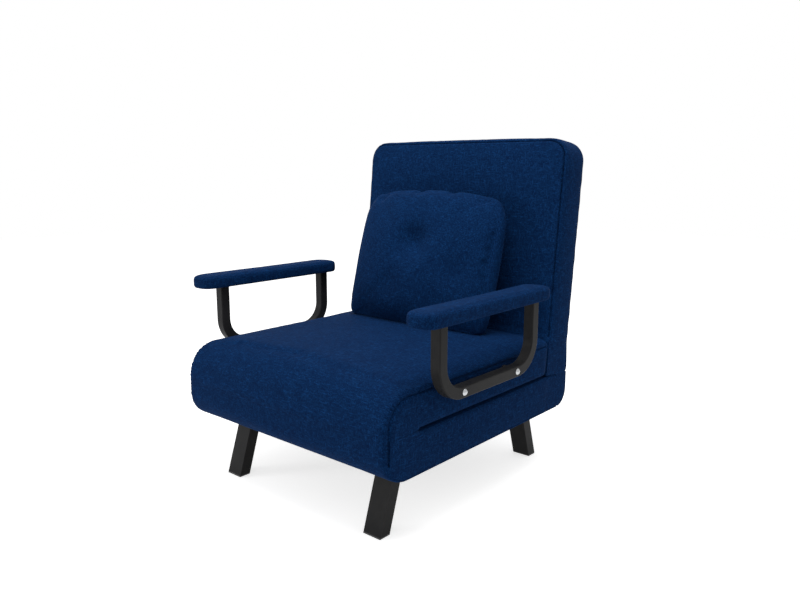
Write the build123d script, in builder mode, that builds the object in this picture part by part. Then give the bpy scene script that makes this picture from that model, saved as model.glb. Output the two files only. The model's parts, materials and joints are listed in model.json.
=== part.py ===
"""Convertible sleeper armchair: a padded base, a seat that flips forward and a reclining back.

Millimetres, +Z up, the front faces -Y and the sitter's left is +X. The origin is on the floor,
under the middle of the overall box. Pieces of the left side are made once and mirrored.
"""

import math
import os

from build123d import *

# Padded body
BODY_WIDTH = 650.0
OVERALL_HEIGHT = 820.0
NOSE_Y = -382.0
BASE_BOTTOM_Z = 150.0
NOSE_LOWER_RADIUS = 48.0
SEAT_EDGE_Z = 333.0
SEAT_CROWN = 22.0
NOSE_EDGE_RADIUS = 68.0
NOSE_MIDDLE_RADIUS = 84.0
REAR_CORNER_Y = 331.0
REAR_CORNER_RADIUS = 40.0

# Slit between the seat and the base, open behind SLIT_FRONT_Y and closed in front of it
FOLD_Z = 243.0
SLIT = 10.0
SLIT_FRONT_Y = -282.0
CLOSED_SLIT = 0.8

# Fold of the seat
FLIP_AXIS_Y = -366.0
FLIP_FACE_GAP = 0.5

# Backrest, measured from its recline axis, which lies RECLINE_DROP below the base's deck
BACK_FACE_Y = 222.0
BACK_TILT = 5.9
BACK_THICKNESS = 101.0
BACK_CROWN = 6.0
BACK_CORNER_RADIUS = 50.0
RECLINE_DROP = 35.0
BACK_CLEARANCE = 1.5
SEAT_BACK_GAP = 3.0

# Square tube frames and their boards
TUBE = 25.0
TUBE_WALL = 1.5
BOARD = 6.0
SIDE_PADDING = 25.0
SEAT_FRAME_Z = 305.0
SEAT_FRAME_FRONT_Y = -325.0
SEAT_FRAME_REAR_Y = 190.0
SEAT_MIDDLE_RAIL_Y = -60.0
BASE_FRAME_FRONT_Y = -330.0
BASE_FRAME_REAR_Y = 262.0
BASE_MIDDLE_RAIL_Y = -15.0
BACK_FRAME_END_GAP = 22.0
BACK_BOARD_DEPTH = 32.0
DUST_COVER = 2.0
POCKET_GAP = 0.6

# Legs: rectangular tube, the foot stands LEG_SPLAY outside the top
LEG_INSET = 89.5
LEG_WIDTH = 48.0
LEG_DEPTH = 30.0
LEG_WALL = 2.0
LEG_SPLAY = 48.0
FOOT_FRONT_Y = -309.0
FOOT_REAR_Y = 277.0
LEG_PLATE = 4.0
LEG_PLATE_WIDTH = 112.0
LEG_PLATE_DEPTH = 56.0
LEG_BOLT_SPACING = 82.0
LEG_CAP = 3.0
LEG_CAP_PLUG = 14.0
LEG_CAP_PLUG_WALL = 3.0
LEG_CAP_GAP = 0.2
LEG_HOLE_GAP = 1.5

# Hinges: a plate on each frame, turning on a rivet
PLATE = 4.5
PLATE_GAP = 0.5
FLIP_EYE_RADIUS = 10.0
FLIP_PIN_RADIUS = 4.0
RECLINE_EYE_RADIUS = 12.0
RECLINE_PIN_RADIUS = 5.0
PIN_RUNNING_GAP = 0.05
RIVET_HEAD = 3.5
RIVET_HEAD_EXTRA_RADIUS = 3.5
RIVET_SIDE_GAP = 0.3
RATCHET_RADIUS = 18.0
RATCHET_DEPTH = 6.0
RATCHET_RIM = 1.5
EYE_POCKET_GAP = 2.0
FLIP_SWEEP_EXTRA_RADIUS = 12.0
RECLINE_SWEEP_EXTRA_RADIUS = 16.0
PLATE_SLOT_GAP = 0.6
PLATE_FOOT_HEIGHT = 24.0
PLATE_FOOT_LENGTH = 64.0
PLATE_FOOT_INSET = 2.0

# Countersunk screws that hold plates to tubes
SCREW_RADIUS = 3.0
SCREW_HEAD_RADIUS = 6.0
SCREW_LENGTH = 14.0
SCREW_SPACING = 36.0
SCREW_GAP = 0.1
SCREW_HEAD_ANGLE = 90.0

# Arm frames
ARM_GAP = 15.0
ARM_FRONT_Y = -264.0
ARM_REAR_Y = 105.0
ARM_BEND_RADIUS = 65.0
ARM_TUBE_CORNER = 3.0
ARM_BAR = 3.0
PAD_THICKNESS = 27.0
PAD_WIDTH = 75.0
PAD_FRONT_OVERHANG = 57.0
PAD_REAR_OVERHANG = 27.0
PAD_CORNER_RADIUS = 28.0
PAD_TOP_ROUND = 9.0
PAD_BOTTOM_ROUND = 5.0
PAD_BOARD = 9.0
PAD_BOARD_MARGIN = 9.0
PAD_SCREW_RADIUS = 2.0
PAD_SCREW_HEAD_RADIUS = 4.5
PAD_SCREW_HEAD = 2.5
PAD_SCREW_BITE = 7.0
PAD_SCREW_INSET = 95.0

# Arm bolts: domed heads outside, spacers through the seat's side padding, nuts inside the rail
ARM_BOLT_SPACING = 201.0
ARM_BOLT_RADIUS = 4.0
ARM_BOLT_HEAD_RADIUS = 7.5
ARM_BOLT_HEAD = 4.5
ARM_BOLT_TAIL = 2.0
ARM_HOLE_GAP = 0.3
SPACER_RADIUS = 9.0
SPACER_HOLE_GAP = 0.5
NUT_RADIUS = 7.5
NUT_HEIGHT = 6.5

# Pillow: crowned faces, leaning back on the backrest
PILLOW_X = -14.0
PILLOW_Y = 99.0
PILLOW_LEAN = 20.0
PILLOW_HEIGHT = 358.0
PILLOW_WIDTH = 452.0
PILLOW_END_WIDTH = 358.0
PILLOW_THICKNESS = 146.0
PILLOW_END_THICKNESS = 46.0
PILLOW_EDGE_THICKNESS = 24.0
PILLOW_WAIST = 10.0
PILLOW_SECTIONS = 9
PILLOW_SEAT_GAP = 1.4
TUFT_X = 16.0
TUFT_HEIGHT = 196.0
TUFT_RADIUS = 46.0
TUFT_DEPTH = 15.0

# Sizes worked out from those above
half_width = BODY_WIDTH / 2
tilt_sin = math.sin(math.radians(BACK_TILT))
tilt_cos = math.cos(math.radians(BACK_TILT))
deck_z = FOLD_Z - SLIT / 2
recline_z = deck_z - RECLINE_DROP
recline_y = BACK_FACE_Y + (RECLINE_DROP - (FOLD_Z - recline_z) * tilt_sin) / tilt_cos
base_rear_y = recline_y + RECLINE_DROP
back_bottom = RECLINE_DROP + BACK_CLEARANCE
back_top = (OVERALL_HEIGHT - recline_z - RECLINE_DROP * tilt_sin) / tilt_cos
back_rear = BACK_THICKNESS - RECLINE_DROP
back_board_front = BACK_BOARD_DEPTH - RECLINE_DROP
back_tube_middle = back_board_front + BOARD + TUBE / 2
seat_rail_out_x = half_width - SIDE_PADDING
base_rail_out_x = seat_rail_out_x + PLATE + PLATE_GAP
leg_x = half_width - LEG_INSET
base_tube_z = BASE_BOTTOM_Z + DUST_COVER + LEG_PLATE + TUBE / 2
leg_plate_z = BASE_BOTTOM_Z + DUST_COVER
legs = {
    "front": (FOOT_FRONT_Y, FOOT_FRONT_Y + LEG_SPLAY),
    "rear": (FOOT_REAR_Y, FOOT_REAR_Y - LEG_SPLAY),
}
arm_in_x = half_width + ARM_GAP
arm_x = arm_in_x + TUBE / 2
arm_out_x = arm_in_x + TUBE
pad_top_z = 2 * FOLD_Z
pad_bottom_z = pad_top_z - PAD_THICKNESS
arm_middle_y = (ARM_FRONT_Y + ARM_REAR_Y) / 2
arm_bolt_ys = (arm_middle_y - ARM_BOLT_SPACING / 2, arm_middle_y + ARM_BOLT_SPACING / 2)
pad_front_y = ARM_FRONT_Y - PAD_FRONT_OVERHANG
pad_rear_y = ARM_REAR_Y + PAD_REAR_OVERHANG
pad_length = pad_rear_y - pad_front_y
pad_middle_y = (pad_front_y + pad_rear_y) / 2
pad_screw_ys = (ARM_FRONT_Y + PAD_SCREW_INSET, ARM_REAR_Y - PAD_SCREW_INSET)

# The backrest's own planes: its face, its end, and its side seen along X
back_axis = Vector(0, recline_y, recline_z)
back_plane = Plane(origin=back_axis, x_dir=(1, 0, 0), z_dir=(0, -tilt_cos, tilt_sin))
back_end_plane = Plane(
    origin=back_axis + Vector(0, tilt_sin, tilt_cos) * back_bottom,
    x_dir=(1, 0, 0),
    z_dir=(0, tilt_sin, tilt_cos),
)


def back_side_plane(x):
    """Plane across the chair at x, with depth behind the recline axis along its own X."""
    return Plane(origin=(x, recline_y, recline_z), x_dir=(0, tilt_cos, -tilt_sin), z_dir=(1, 0, 0))


def save(piece, name):
    """Label a finished piece and write it as a STEP file of its own."""
    piece.label = name
    export_step(piece, f"parts/{name}.step")


def save_pair(piece, name):
    """Write a left piece and its mirror image."""
    with BuildPart() as mirrored:
        mirror(piece, about=Plane.YZ)
    save(piece, f"{name}_left")
    save(mirrored.part, f"{name}_right")


def bar_along_x(radius, x_from, x_to, places):
    """Round bars between two X values at each (y, z) place, and their mirror images."""
    with BuildPart() as bars:
        with BuildSketch(Plane.YZ.offset(x_from)):
            with Locations(*places):
                Circle(radius)
        extrude(amount=x_to - x_from)
        mirror(about=Plane.YZ)
    return bars.part


def tube_frame(plane, rail_out_x, start, end, cross_places):
    """Two rails with cross rails between them, of square tube whose bores open into each other."""
    rail_x = rail_out_x - TUBE / 2
    bore = TUBE - 2 * TUBE_WALL
    inside = 2 * rail_x - TUBE
    rails = [(side * rail_x, (start + end) / 2, 0) for side in (-1, 1)]
    crosses = [(0, place, 0) for place in cross_places]
    with BuildPart(plane) as frame:
        with Locations(*rails):
            Box(TUBE, end - start, TUBE)
        with Locations(*crosses):
            Box(inside, TUBE, TUBE)
        with Locations(*rails):
            Box(bore, end - start, bore, mode=Mode.SUBTRACT)
        with Locations(*crosses):
            Box(inside + 2 * TUBE_WALL, bore, bore, mode=Mode.SUBTRACT)
    return frame.part


def plate_outline(plane, eye, eye_radius, foot, foot_size, grow=0.0):
    """Outline of a hinge plate: an eye drawn together with the foot that lies on a rail."""
    with BuildSketch(plane) as outline:
        with Locations(eye):
            Circle(eye_radius + grow)
        with Locations(foot):
            Rectangle(foot_size[0] + 2 * grow, foot_size[1] + 2 * grow)
        make_hull()
    return outline.sketch


def screw_planes(plane, points):
    """Planes at the points given in a plate's own plane, facing out of it."""
    return [Plane(origin=plane.from_local_coords(point), x_dir=plane.x_dir, z_dir=plane.z_dir)
            for point in points]


def countersunk_screws(planes, length):
    """Screws whose heads lie flush with each plane."""
    head = SCREW_HEAD_RADIUS - SCREW_RADIUS
    top = (Align.CENTER, Align.CENTER, Align.MAX)
    with BuildPart() as screws:
        with Locations(*planes):
            Cylinder(SCREW_RADIUS, length, align=top)
            Cone(SCREW_RADIUS, SCREW_HEAD_RADIUS, head, align=top)
    return screws.part


class HingePlate:
    """A left hinge plate, its slot in the padding and its screws."""

    def __init__(self, plane, eye, eye_radius, pin_radius, foot, foot_size, screw_step):
        """Lay the plate out on the plane of its inner face, with screws along its foot."""
        self.plane = plane
        self.layout = (eye, eye_radius, foot, foot_size)
        self.eye = eye
        self.bore = pin_radius + PIN_RUNNING_GAP
        outer = plane.offset(PLATE)
        points = [(foot[0] + side * screw_step[0], foot[1] + side * screw_step[1], 0) for side in (-1, 1)]
        self.screw_planes = screw_planes(outer, points)

    def solid(self):
        """The plate with its pin bore and its countersunk holes."""
        with BuildPart() as plate:
            extrude(plate_outline(self.plane, *self.layout), amount=PLATE)
            with BuildSketch(self.plane):
                with Locations(self.eye):
                    Circle(self.bore)
            extrude(amount=PLATE, mode=Mode.SUBTRACT)
            with Locations(*self.screw_planes):
                CounterSinkHole(
                    SCREW_RADIUS + SCREW_GAP,
                    SCREW_HEAD_RADIUS + SCREW_GAP,
                    counter_sink_angle=SCREW_HEAD_ANGLE,
                )
        return plate.part

    def slots(self):
        """Room for the plate in the padding on both sides of the chair."""
        with BuildPart() as slots:
            inner_face = self.plane.offset(-PLATE_SLOT_GAP)
            outline = plate_outline(inner_face, *self.layout, grow=PLATE_SLOT_GAP)
            extrude(outline, amount=PLATE + 2 * PLATE_SLOT_GAP)
            mirror(about=Plane.YZ)
        return slots.part

    def screw_holes(self):
        """Holes for the screws in the rails of both sides."""
        deep = (Align.CENTER, Align.CENTER, Align.MAX)
        with BuildPart() as holes:
            with Locations(*self.screw_planes):
                Cylinder(SCREW_RADIUS + SCREW_GAP, PLATE + TUBE / 2, align=deep)
            mirror(about=Plane.YZ)
        return holes.part


def rivet(pin_radius, axis, x_from, x_to):
    """A pivot rivet along X whose two heads lie outside x_from and x_to."""
    head_radius = pin_radius + RIVET_HEAD_EXTRA_RADIUS
    with BuildPart() as pivot:
        with BuildSketch(Plane.YZ.offset(x_from)):
            with Locations(axis):
                Circle(pin_radius)
        extrude(amount=x_to - x_from)
        for x, amount in ((x_from, -RIVET_HEAD), (x_to, RIVET_HEAD)):
            with BuildSketch(Plane.YZ.offset(x)):
                with Locations(axis):
                    Circle(head_radius)
            extrude(amount=amount)
    return pivot.part


def base_block(top_gap):
    """The base's padding with its nose, its deck and the round rear edge under the backrest."""
    nose_top = FOLD_Z - top_gap
    turn = RECLINE_DROP * math.sqrt(0.5)
    with BuildPart() as block:
        with BuildSketch(Plane.YZ):
            with BuildLine():
                Polyline(
                    (NOSE_Y, BASE_BOTTOM_Z + NOSE_LOWER_RADIUS),
                    (NOSE_Y, nose_top),
                    (SLIT_FRONT_Y, nose_top),
                    (SLIT_FRONT_Y, deck_z),
                    (recline_y, deck_z),
                )
                ThreePointArc(
                    (recline_y, deck_z),
                    (recline_y + turn, recline_z + turn),
                    (base_rear_y, recline_z),
                )
                Polyline(
                    (base_rear_y, recline_z),
                    (base_rear_y, BASE_BOTTOM_Z),
                    (NOSE_Y + NOSE_LOWER_RADIUS, BASE_BOTTOM_Z),
                )
                RadiusArc(
                    (NOSE_Y + NOSE_LOWER_RADIUS, BASE_BOTTOM_Z),
                    (NOSE_Y, BASE_BOTTOM_Z + NOSE_LOWER_RADIUS),
                    NOSE_LOWER_RADIUS,
                )
            make_face()
        extrude(amount=half_width, both=True)
    return block.part


def seat_rear_y(z):
    """The seat's rear face follows the backrest's face."""
    stand_off = (BACK_CROWN + SEAT_BACK_GAP) / tilt_cos
    return BACK_FACE_Y + (z - FOLD_Z) * tilt_sin / tilt_cos - stand_off


def seat_block():
    """The seat's padding above the fold: crowned across the chair and rounded over the nose."""
    middle_z = SEAT_EDGE_Z + SEAT_CROWN
    sections = (
        (-half_width, SEAT_EDGE_Z, NOSE_EDGE_RADIUS),
        (0, middle_z, NOSE_MIDDLE_RADIUS),
        (half_width, SEAT_EDGE_Z, NOSE_EDGE_RADIUS),
    )
    with BuildPart() as block:
        for x, top_z, radius in sections:
            with BuildSketch(Plane.YZ.offset(x)):
                with BuildLine():
                    Polyline(
                        (NOSE_Y, top_z - radius),
                        (NOSE_Y, FOLD_Z),
                        (seat_rear_y(FOLD_Z), FOLD_Z),
                        (seat_rear_y(top_z), top_z),
                        (NOSE_Y + radius, top_z),
                    )
                    RadiusArc((NOSE_Y + radius, top_z), (NOSE_Y, top_z - radius), -radius)
                make_face()
        loft()
    return block.part


def back_block():
    """The backrest's padding: a crowned face, square below and round at its top corners."""
    crown_radius = (half_width**2 + BACK_CROWN**2) / (2 * BACK_CROWN)
    crown_front = -RECLINE_DROP - BACK_CROWN
    reach = half_width + BACK_CORNER_RADIUS
    reach_front = crown_front + crown_radius - math.sqrt(crown_radius**2 - reach**2)
    with BuildPart() as block:
        with BuildSketch(back_end_plane):
            with BuildLine():
                Polyline(
                    (reach, reach_front),
                    (reach, back_rear),
                    (-reach, back_rear),
                    (-reach, reach_front),
                )
                ThreePointArc((-reach, reach_front), (0, crown_front), (reach, reach_front))
            make_face()
        extrude(amount=back_top - back_bottom)
        with BuildSketch(back_plane):
            with Locations((0, (back_top + back_bottom) / 2)):
                outline = Rectangle(BODY_WIDTH, back_top - back_bottom)
            fillet(outline.vertices().group_by(Axis.Y)[-1], BACK_CORNER_RADIUS)
        extrude(amount=BACK_THICKNESS, both=True, mode=Mode.INTERSECT)
    return block.part


# Hinge plates of the left side
flip_axis = (FLIP_AXIS_Y, FOLD_Z)
recline_axis = (recline_y, recline_z)
foot_size = (PLATE_FOOT_LENGTH, PLATE_FOOT_HEIGHT)
foot_half = PLATE_FOOT_LENGTH / 2 + PLATE_FOOT_INSET
along_rail = (SCREW_SPACING / 2, 0)
flip_base = HingePlate(
    Plane.YZ.offset(base_rail_out_x), flip_axis, FLIP_EYE_RADIUS, FLIP_PIN_RADIUS,
    (BASE_FRAME_FRONT_Y + foot_half, base_tube_z), foot_size, along_rail,
)
flip_seat = HingePlate(
    Plane.YZ.offset(seat_rail_out_x), flip_axis, FLIP_EYE_RADIUS, FLIP_PIN_RADIUS,
    (SEAT_FRAME_FRONT_Y + foot_half, SEAT_FRAME_Z), foot_size, along_rail,
)
recline_base = HingePlate(
    Plane.YZ.offset(base_rail_out_x), recline_axis, RECLINE_EYE_RADIUS, RECLINE_PIN_RADIUS,
    (BASE_FRAME_REAR_Y - foot_half, base_tube_z), foot_size, along_rail,
)
back_frame_start = back_bottom + BACK_FRAME_END_GAP
back_frame_end = back_top - BACK_FRAME_END_GAP
recline_back = HingePlate(
    back_side_plane(seat_rail_out_x), (0, 0), RECLINE_EYE_RADIUS, RECLINE_PIN_RADIUS,
    (back_tube_middle, back_frame_start + foot_half), foot_size[::-1], along_rail[::-1],
)

# Room for the hinges in the padding
pocket_in_x = seat_rail_out_x - RIVET_HEAD - EYE_POCKET_GAP
flip_pocket_out_x = base_rail_out_x + PLATE + RIVET_HEAD + EYE_POCKET_GAP
flip_pocket = bar_along_x(
    FLIP_EYE_RADIUS + EYE_POCKET_GAP, pocket_in_x, flip_pocket_out_x, [flip_axis]
)
flip_sweep = bar_along_x(
    FLIP_EYE_RADIUS + FLIP_SWEEP_EXTRA_RADIUS, pocket_in_x, flip_pocket_out_x, [flip_axis]
)
recline_pocket = bar_along_x(
    RATCHET_RADIUS + EYE_POCKET_GAP,
    pocket_in_x,
    base_rail_out_x + PLATE + RATCHET_DEPTH + RIVET_HEAD + EYE_POCKET_GAP,
    [recline_axis],
)
back_plate_sweep = bar_along_x(
    back_bottom + RECLINE_SWEEP_EXTRA_RADIUS,
    seat_rail_out_x - PLATE_SLOT_GAP,
    base_rail_out_x + PLATE_GAP,
    [recline_axis],
)

os.makedirs("parts", exist_ok=True)

# Base frame, its deck and its dust cover
leg_bolt_places = [
    (side * leg_x + end * LEG_BOLT_SPACING / 2, top_y)
    for side in (-1, 1)
    for end in (-1, 1)
    for _, top_y in legs.values()
]
with BuildPart() as base_frame:
    cross_ys = [legs["front"][1], BASE_MIDDLE_RAIL_Y, legs["rear"][1]]
    add(
        tube_frame(
            Plane.XY.offset(base_tube_z), base_rail_out_x, BASE_FRAME_FRONT_Y, BASE_FRAME_REAR_Y, cross_ys
        )
    )
    with BuildSketch(Plane.XY.offset(base_tube_z - TUBE / 2)):
        with Locations(*leg_bolt_places):
            Circle(SCREW_RADIUS + SCREW_GAP)
    extrude(amount=2 * TUBE_WALL, mode=Mode.SUBTRACT)
    add(flip_base.screw_holes(), mode=Mode.SUBTRACT)
    add(recline_base.screw_holes(), mode=Mode.SUBTRACT)
save(base_frame.part, "base_frame")

base_frame_length = BASE_FRAME_REAR_Y - BASE_FRAME_FRONT_Y
base_frame_middle_y = (BASE_FRAME_REAR_Y + BASE_FRAME_FRONT_Y) / 2
base_deck_top_z = base_tube_z + TUBE / 2 + BOARD
with BuildPart() as base_deck:
    with Locations((0, base_frame_middle_y, base_deck_top_z - BOARD / 2)):
        Box(2 * base_rail_out_x, base_frame_length, BOARD)
save(base_deck.part, "base_deck")

with BuildPart() as base_dust_cover:
    with Locations((0, base_frame_middle_y, BASE_BOTTOM_Z + DUST_COVER / 2)):
        Box(2 * base_rail_out_x, base_frame_length, DUST_COVER)
    for _, top_y in legs.values():
        with Locations(*[(side * leg_x, top_y, leg_plate_z) for side in (-1, 1)]):
            Box(
                LEG_WIDTH + 2 * LEG_HOLE_GAP,
                LEG_DEPTH + 2 * LEG_HOLE_GAP,
                2 * DUST_COVER,
                mode=Mode.SUBTRACT,
            )
save(base_dust_cover.part, "base_dust_cover")

# Base padding
with BuildPart() as base_cushion:
    add(base_block(CLOSED_SLIT / 2))
    split(bisect_by=Plane.XZ.offset(-FLIP_AXIS_Y), keep=Keep.BOTTOM)
    with Locations((0, base_frame_middle_y, BASE_BOTTOM_Z)):
        Box(
            2 * (base_rail_out_x + POCKET_GAP),
            base_frame_length + 2 * POCKET_GAP,
            base_deck_top_z - BASE_BOTTOM_Z,
            align=(Align.CENTER, Align.CENTER, Align.MIN),
            mode=Mode.SUBTRACT,
        )
    for room in (flip_sweep, recline_pocket, back_plate_sweep, flip_base.slots(), recline_base.slots()):
        add(room, mode=Mode.SUBTRACT)
save(base_cushion.part, "base_cushion")

with BuildPart() as front_pad:
    add(base_block(0))
    add(seat_block())
    split(bisect_by=Plane.XZ.offset(-FLIP_AXIS_Y), keep=Keep.TOP)
    for room in (flip_pocket, flip_base.slots(), flip_seat.slots()):
        add(room, mode=Mode.SUBTRACT)
save(front_pad.part, "front_pad")

with BuildPart() as rear_corner_pad:
    back_foot = back_axis + Vector(0, tilt_sin, tilt_cos) * RECLINE_DROP
    slope = tilt_sin / tilt_cos
    pad_front_z = back_foot.Z - (base_rear_y - back_foot.Y) * slope
    pad_rear_z = back_foot.Z - (REAR_CORNER_Y - back_foot.Y) * slope
    with BuildSketch(Plane.YZ):
        with BuildLine():
            Polyline(
                (REAR_CORNER_Y, BASE_BOTTOM_Z + REAR_CORNER_RADIUS),
                (REAR_CORNER_Y, pad_rear_z),
                (base_rear_y, pad_front_z),
                (base_rear_y, BASE_BOTTOM_Z),
                (REAR_CORNER_Y - REAR_CORNER_RADIUS, BASE_BOTTOM_Z),
            )
            RadiusArc(
                (REAR_CORNER_Y - REAR_CORNER_RADIUS, BASE_BOTTOM_Z),
                (REAR_CORNER_Y, BASE_BOTTOM_Z + REAR_CORNER_RADIUS),
                -REAR_CORNER_RADIUS,
            )
        make_face()
    extrude(amount=half_width, both=True)
save(rear_corner_pad.part, "rear_corner_pad")

# Legs with their plates, caps and bolts
leg_bolt_planes = []
for place, (foot_y, top_y) in legs.items():

    def leg_y(z, foot_y=foot_y, top_y=top_y):
        """Middle of the leg at height z."""
        return foot_y + (top_y - foot_y) * z / leg_plate_z

    bolt_xs = (leg_x - LEG_BOLT_SPACING / 2, leg_x + LEG_BOLT_SPACING / 2)
    bolt_planes = [
        Plane(origin=(x, top_y, leg_plate_z), x_dir=(1, 0, 0), z_dir=(0, 0, -1)) for x in bolt_xs
    ]
    leg_bolt_planes += bolt_planes
    with BuildPart() as leg:
        for z in (LEG_CAP, leg_plate_z):
            with BuildSketch(Plane.XY.offset(z)):
                with Locations((leg_x, leg_y(z))):
                    Rectangle(LEG_WIDTH, LEG_DEPTH)
        loft()
        for z in (LEG_CAP, leg_plate_z):
            with BuildSketch(Plane.XY.offset(z)):
                with Locations((leg_x, leg_y(z))):
                    Rectangle(LEG_WIDTH - 2 * LEG_WALL, LEG_DEPTH - 2 * LEG_WALL)
        loft(mode=Mode.SUBTRACT)
        with Locations((leg_x, top_y, leg_plate_z + LEG_PLATE / 2)):
            Box(LEG_PLATE_WIDTH, LEG_PLATE_DEPTH, LEG_PLATE)
        with Locations(*bolt_planes):
            CounterSinkHole(
                SCREW_RADIUS + SCREW_GAP,
                SCREW_HEAD_RADIUS + SCREW_GAP,
                counter_sink_angle=SCREW_HEAD_ANGLE,
            )
    save_pair(leg.part, f"leg_{place}")

    plug_width = LEG_WIDTH - 2 * (LEG_WALL + LEG_CAP_GAP)
    plug_depth = LEG_DEPTH - 2 * (LEG_WALL + LEG_CAP_GAP)
    with BuildPart() as leg_cap:
        for z in (0, LEG_CAP):
            with BuildSketch(Plane.XY.offset(z)):
                with Locations((leg_x, leg_y(z))):
                    Rectangle(LEG_WIDTH, LEG_DEPTH)
        loft()
        for wall, mode in ((0, Mode.ADD), (LEG_CAP_PLUG_WALL, Mode.SUBTRACT)):
            for z in (LEG_CAP, LEG_CAP + LEG_CAP_PLUG):
                with BuildSketch(Plane.XY.offset(z)):
                    with Locations((leg_x, leg_y(z))):
                        Rectangle(plug_width - 2 * wall, plug_depth - 2 * wall)
            loft(mode=mode)
    save_pair(leg_cap.part, f"leg_cap_{place}")

with BuildPart() as leg_bolts:
    add(countersunk_screws(leg_bolt_planes, SCREW_LENGTH))
    mirror(about=Plane.YZ)
save(leg_bolts.part, "leg_bolts")

# Hinges
save_pair(flip_base.solid(), "flip_hinge_base_plate")
save_pair(flip_seat.solid(), "flip_hinge_seat_plate")
save_pair(recline_base.solid(), "recline_hinge_base_plate")
save_pair(recline_back.solid(), "recline_hinge_back_plate")
pivot_in_x = seat_rail_out_x - RIVET_SIDE_GAP
base_plate_out_x = base_rail_out_x + PLATE
ratchet_out_x = base_plate_out_x + RATCHET_DEPTH
save_pair(rivet(FLIP_PIN_RADIUS, flip_axis, pivot_in_x, base_plate_out_x), "flip_pivot")
save_pair(rivet(RECLINE_PIN_RADIUS, recline_axis, pivot_in_x, ratchet_out_x), "recline_pivot")

with BuildPart() as ratchet:
    with BuildSketch(Plane.YZ.offset(base_plate_out_x)):
        with Locations(recline_axis):
            Circle(RATCHET_RADIUS)
            Circle(RECLINE_PIN_RADIUS + PIN_RUNNING_GAP, mode=Mode.SUBTRACT)
    extrude(amount=RATCHET_DEPTH)
    fillet(ratchet.edges().group_by(Axis.X)[-1].sort_by(SortBy.LENGTH)[-1], RATCHET_RIM)
save_pair(ratchet.part, "recline_ratchet")

hinge_screws = {
    "base": flip_base.screw_planes + recline_base.screw_planes,
    "seat": flip_seat.screw_planes,
    "back": recline_back.screw_planes,
}
for section, planes in hinge_screws.items():
    with BuildPart() as screws:
        add(countersunk_screws(planes, SCREW_LENGTH))
        mirror(about=Plane.YZ)
    save(screws.part, f"hinge_screws_{section}")

# Seat frame and board
seat_frame_length = SEAT_FRAME_REAR_Y - SEAT_FRAME_FRONT_Y
seat_frame_middle_y = (SEAT_FRAME_REAR_Y + SEAT_FRAME_FRONT_Y) / 2
seat_board_top_z = SEAT_FRAME_Z + TUBE / 2 + BOARD
arm_bolt_places = [(y, SEAT_FRAME_Z) for y in arm_bolt_ys]
rail_in_x = seat_rail_out_x - TUBE
with BuildPart() as seat_frame:
    cross_ys = [SEAT_FRAME_FRONT_Y + TUBE / 2, SEAT_MIDDLE_RAIL_Y, SEAT_FRAME_REAR_Y - TUBE / 2]
    add(
        tube_frame(
            Plane.XY.offset(SEAT_FRAME_Z), seat_rail_out_x, SEAT_FRAME_FRONT_Y, SEAT_FRAME_REAR_Y, cross_ys
        )
    )
    bolt_holes = bar_along_x(ARM_BOLT_RADIUS + ARM_HOLE_GAP, rail_in_x, seat_rail_out_x, arm_bolt_places)
    add(bolt_holes, mode=Mode.SUBTRACT)
    add(flip_seat.screw_holes(), mode=Mode.SUBTRACT)
save(seat_frame.part, "seat_frame")

with BuildPart() as seat_board:
    with Locations((0, seat_frame_middle_y, seat_board_top_z - BOARD / 2)):
        Box(2 * seat_rail_out_x, seat_frame_length, BOARD)
save(seat_board.part, "seat_board")

# Seat padding, parted at the middle of its frame
seat_front_plane = Plane.XZ.offset(-FLIP_AXIS_Y - FLIP_FACE_GAP)
pocket_width = 2 * (seat_rail_out_x + POCKET_GAP)
seat_pocket_length = seat_frame_length + 2 * POCKET_GAP
spacer_room = bar_along_x(SPACER_RADIUS + SPACER_HOLE_GAP, rail_in_x, arm_in_x, arm_bolt_places)
with BuildPart() as seat_top_cushion:
    add(seat_block())
    split(bisect_by=seat_front_plane, keep=Keep.BOTTOM)
    split(bisect_by=Plane.XY.offset(SEAT_FRAME_Z), keep=Keep.TOP)
    with Locations((0, seat_frame_middle_y, SEAT_FRAME_Z)):
        Box(
            pocket_width,
            seat_pocket_length,
            seat_board_top_z - SEAT_FRAME_Z,
            align=(Align.CENTER, Align.CENTER, Align.MIN),
            mode=Mode.SUBTRACT,
        )
    for room in (flip_seat.slots(), spacer_room):
        add(room, mode=Mode.SUBTRACT)
save(seat_top_cushion.part, "seat_top_cushion")

with BuildPart() as seat_under_cushion:
    add(seat_block())
    split(bisect_by=seat_front_plane, keep=Keep.BOTTOM)
    split(bisect_by=Plane.XY.offset(SEAT_FRAME_Z), keep=Keep.BOTTOM)
    split(bisect_by=Plane.XY.offset(FOLD_Z + CLOSED_SLIT / 2), keep=Keep.TOP)
    with Locations((0, SLIT_FRONT_Y, FOLD_Z)):
        Box(
            BODY_WIDTH,
            BACK_FACE_Y - SLIT_FRONT_Y,
            SLIT / 2,
            align=(Align.CENTER, Align.MIN, Align.MIN),
            mode=Mode.SUBTRACT,
        )
    with Locations((0, seat_frame_middle_y, SEAT_FRAME_Z)):
        Box(
            pocket_width,
            seat_pocket_length,
            TUBE / 2,
            align=(Align.CENTER, Align.CENTER, Align.MAX),
            mode=Mode.SUBTRACT,
        )
    for room in (flip_seat.slots(), flip_sweep, spacer_room):
        add(room, mode=Mode.SUBTRACT)
save(seat_under_cushion.part, "seat_under_cushion")

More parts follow.
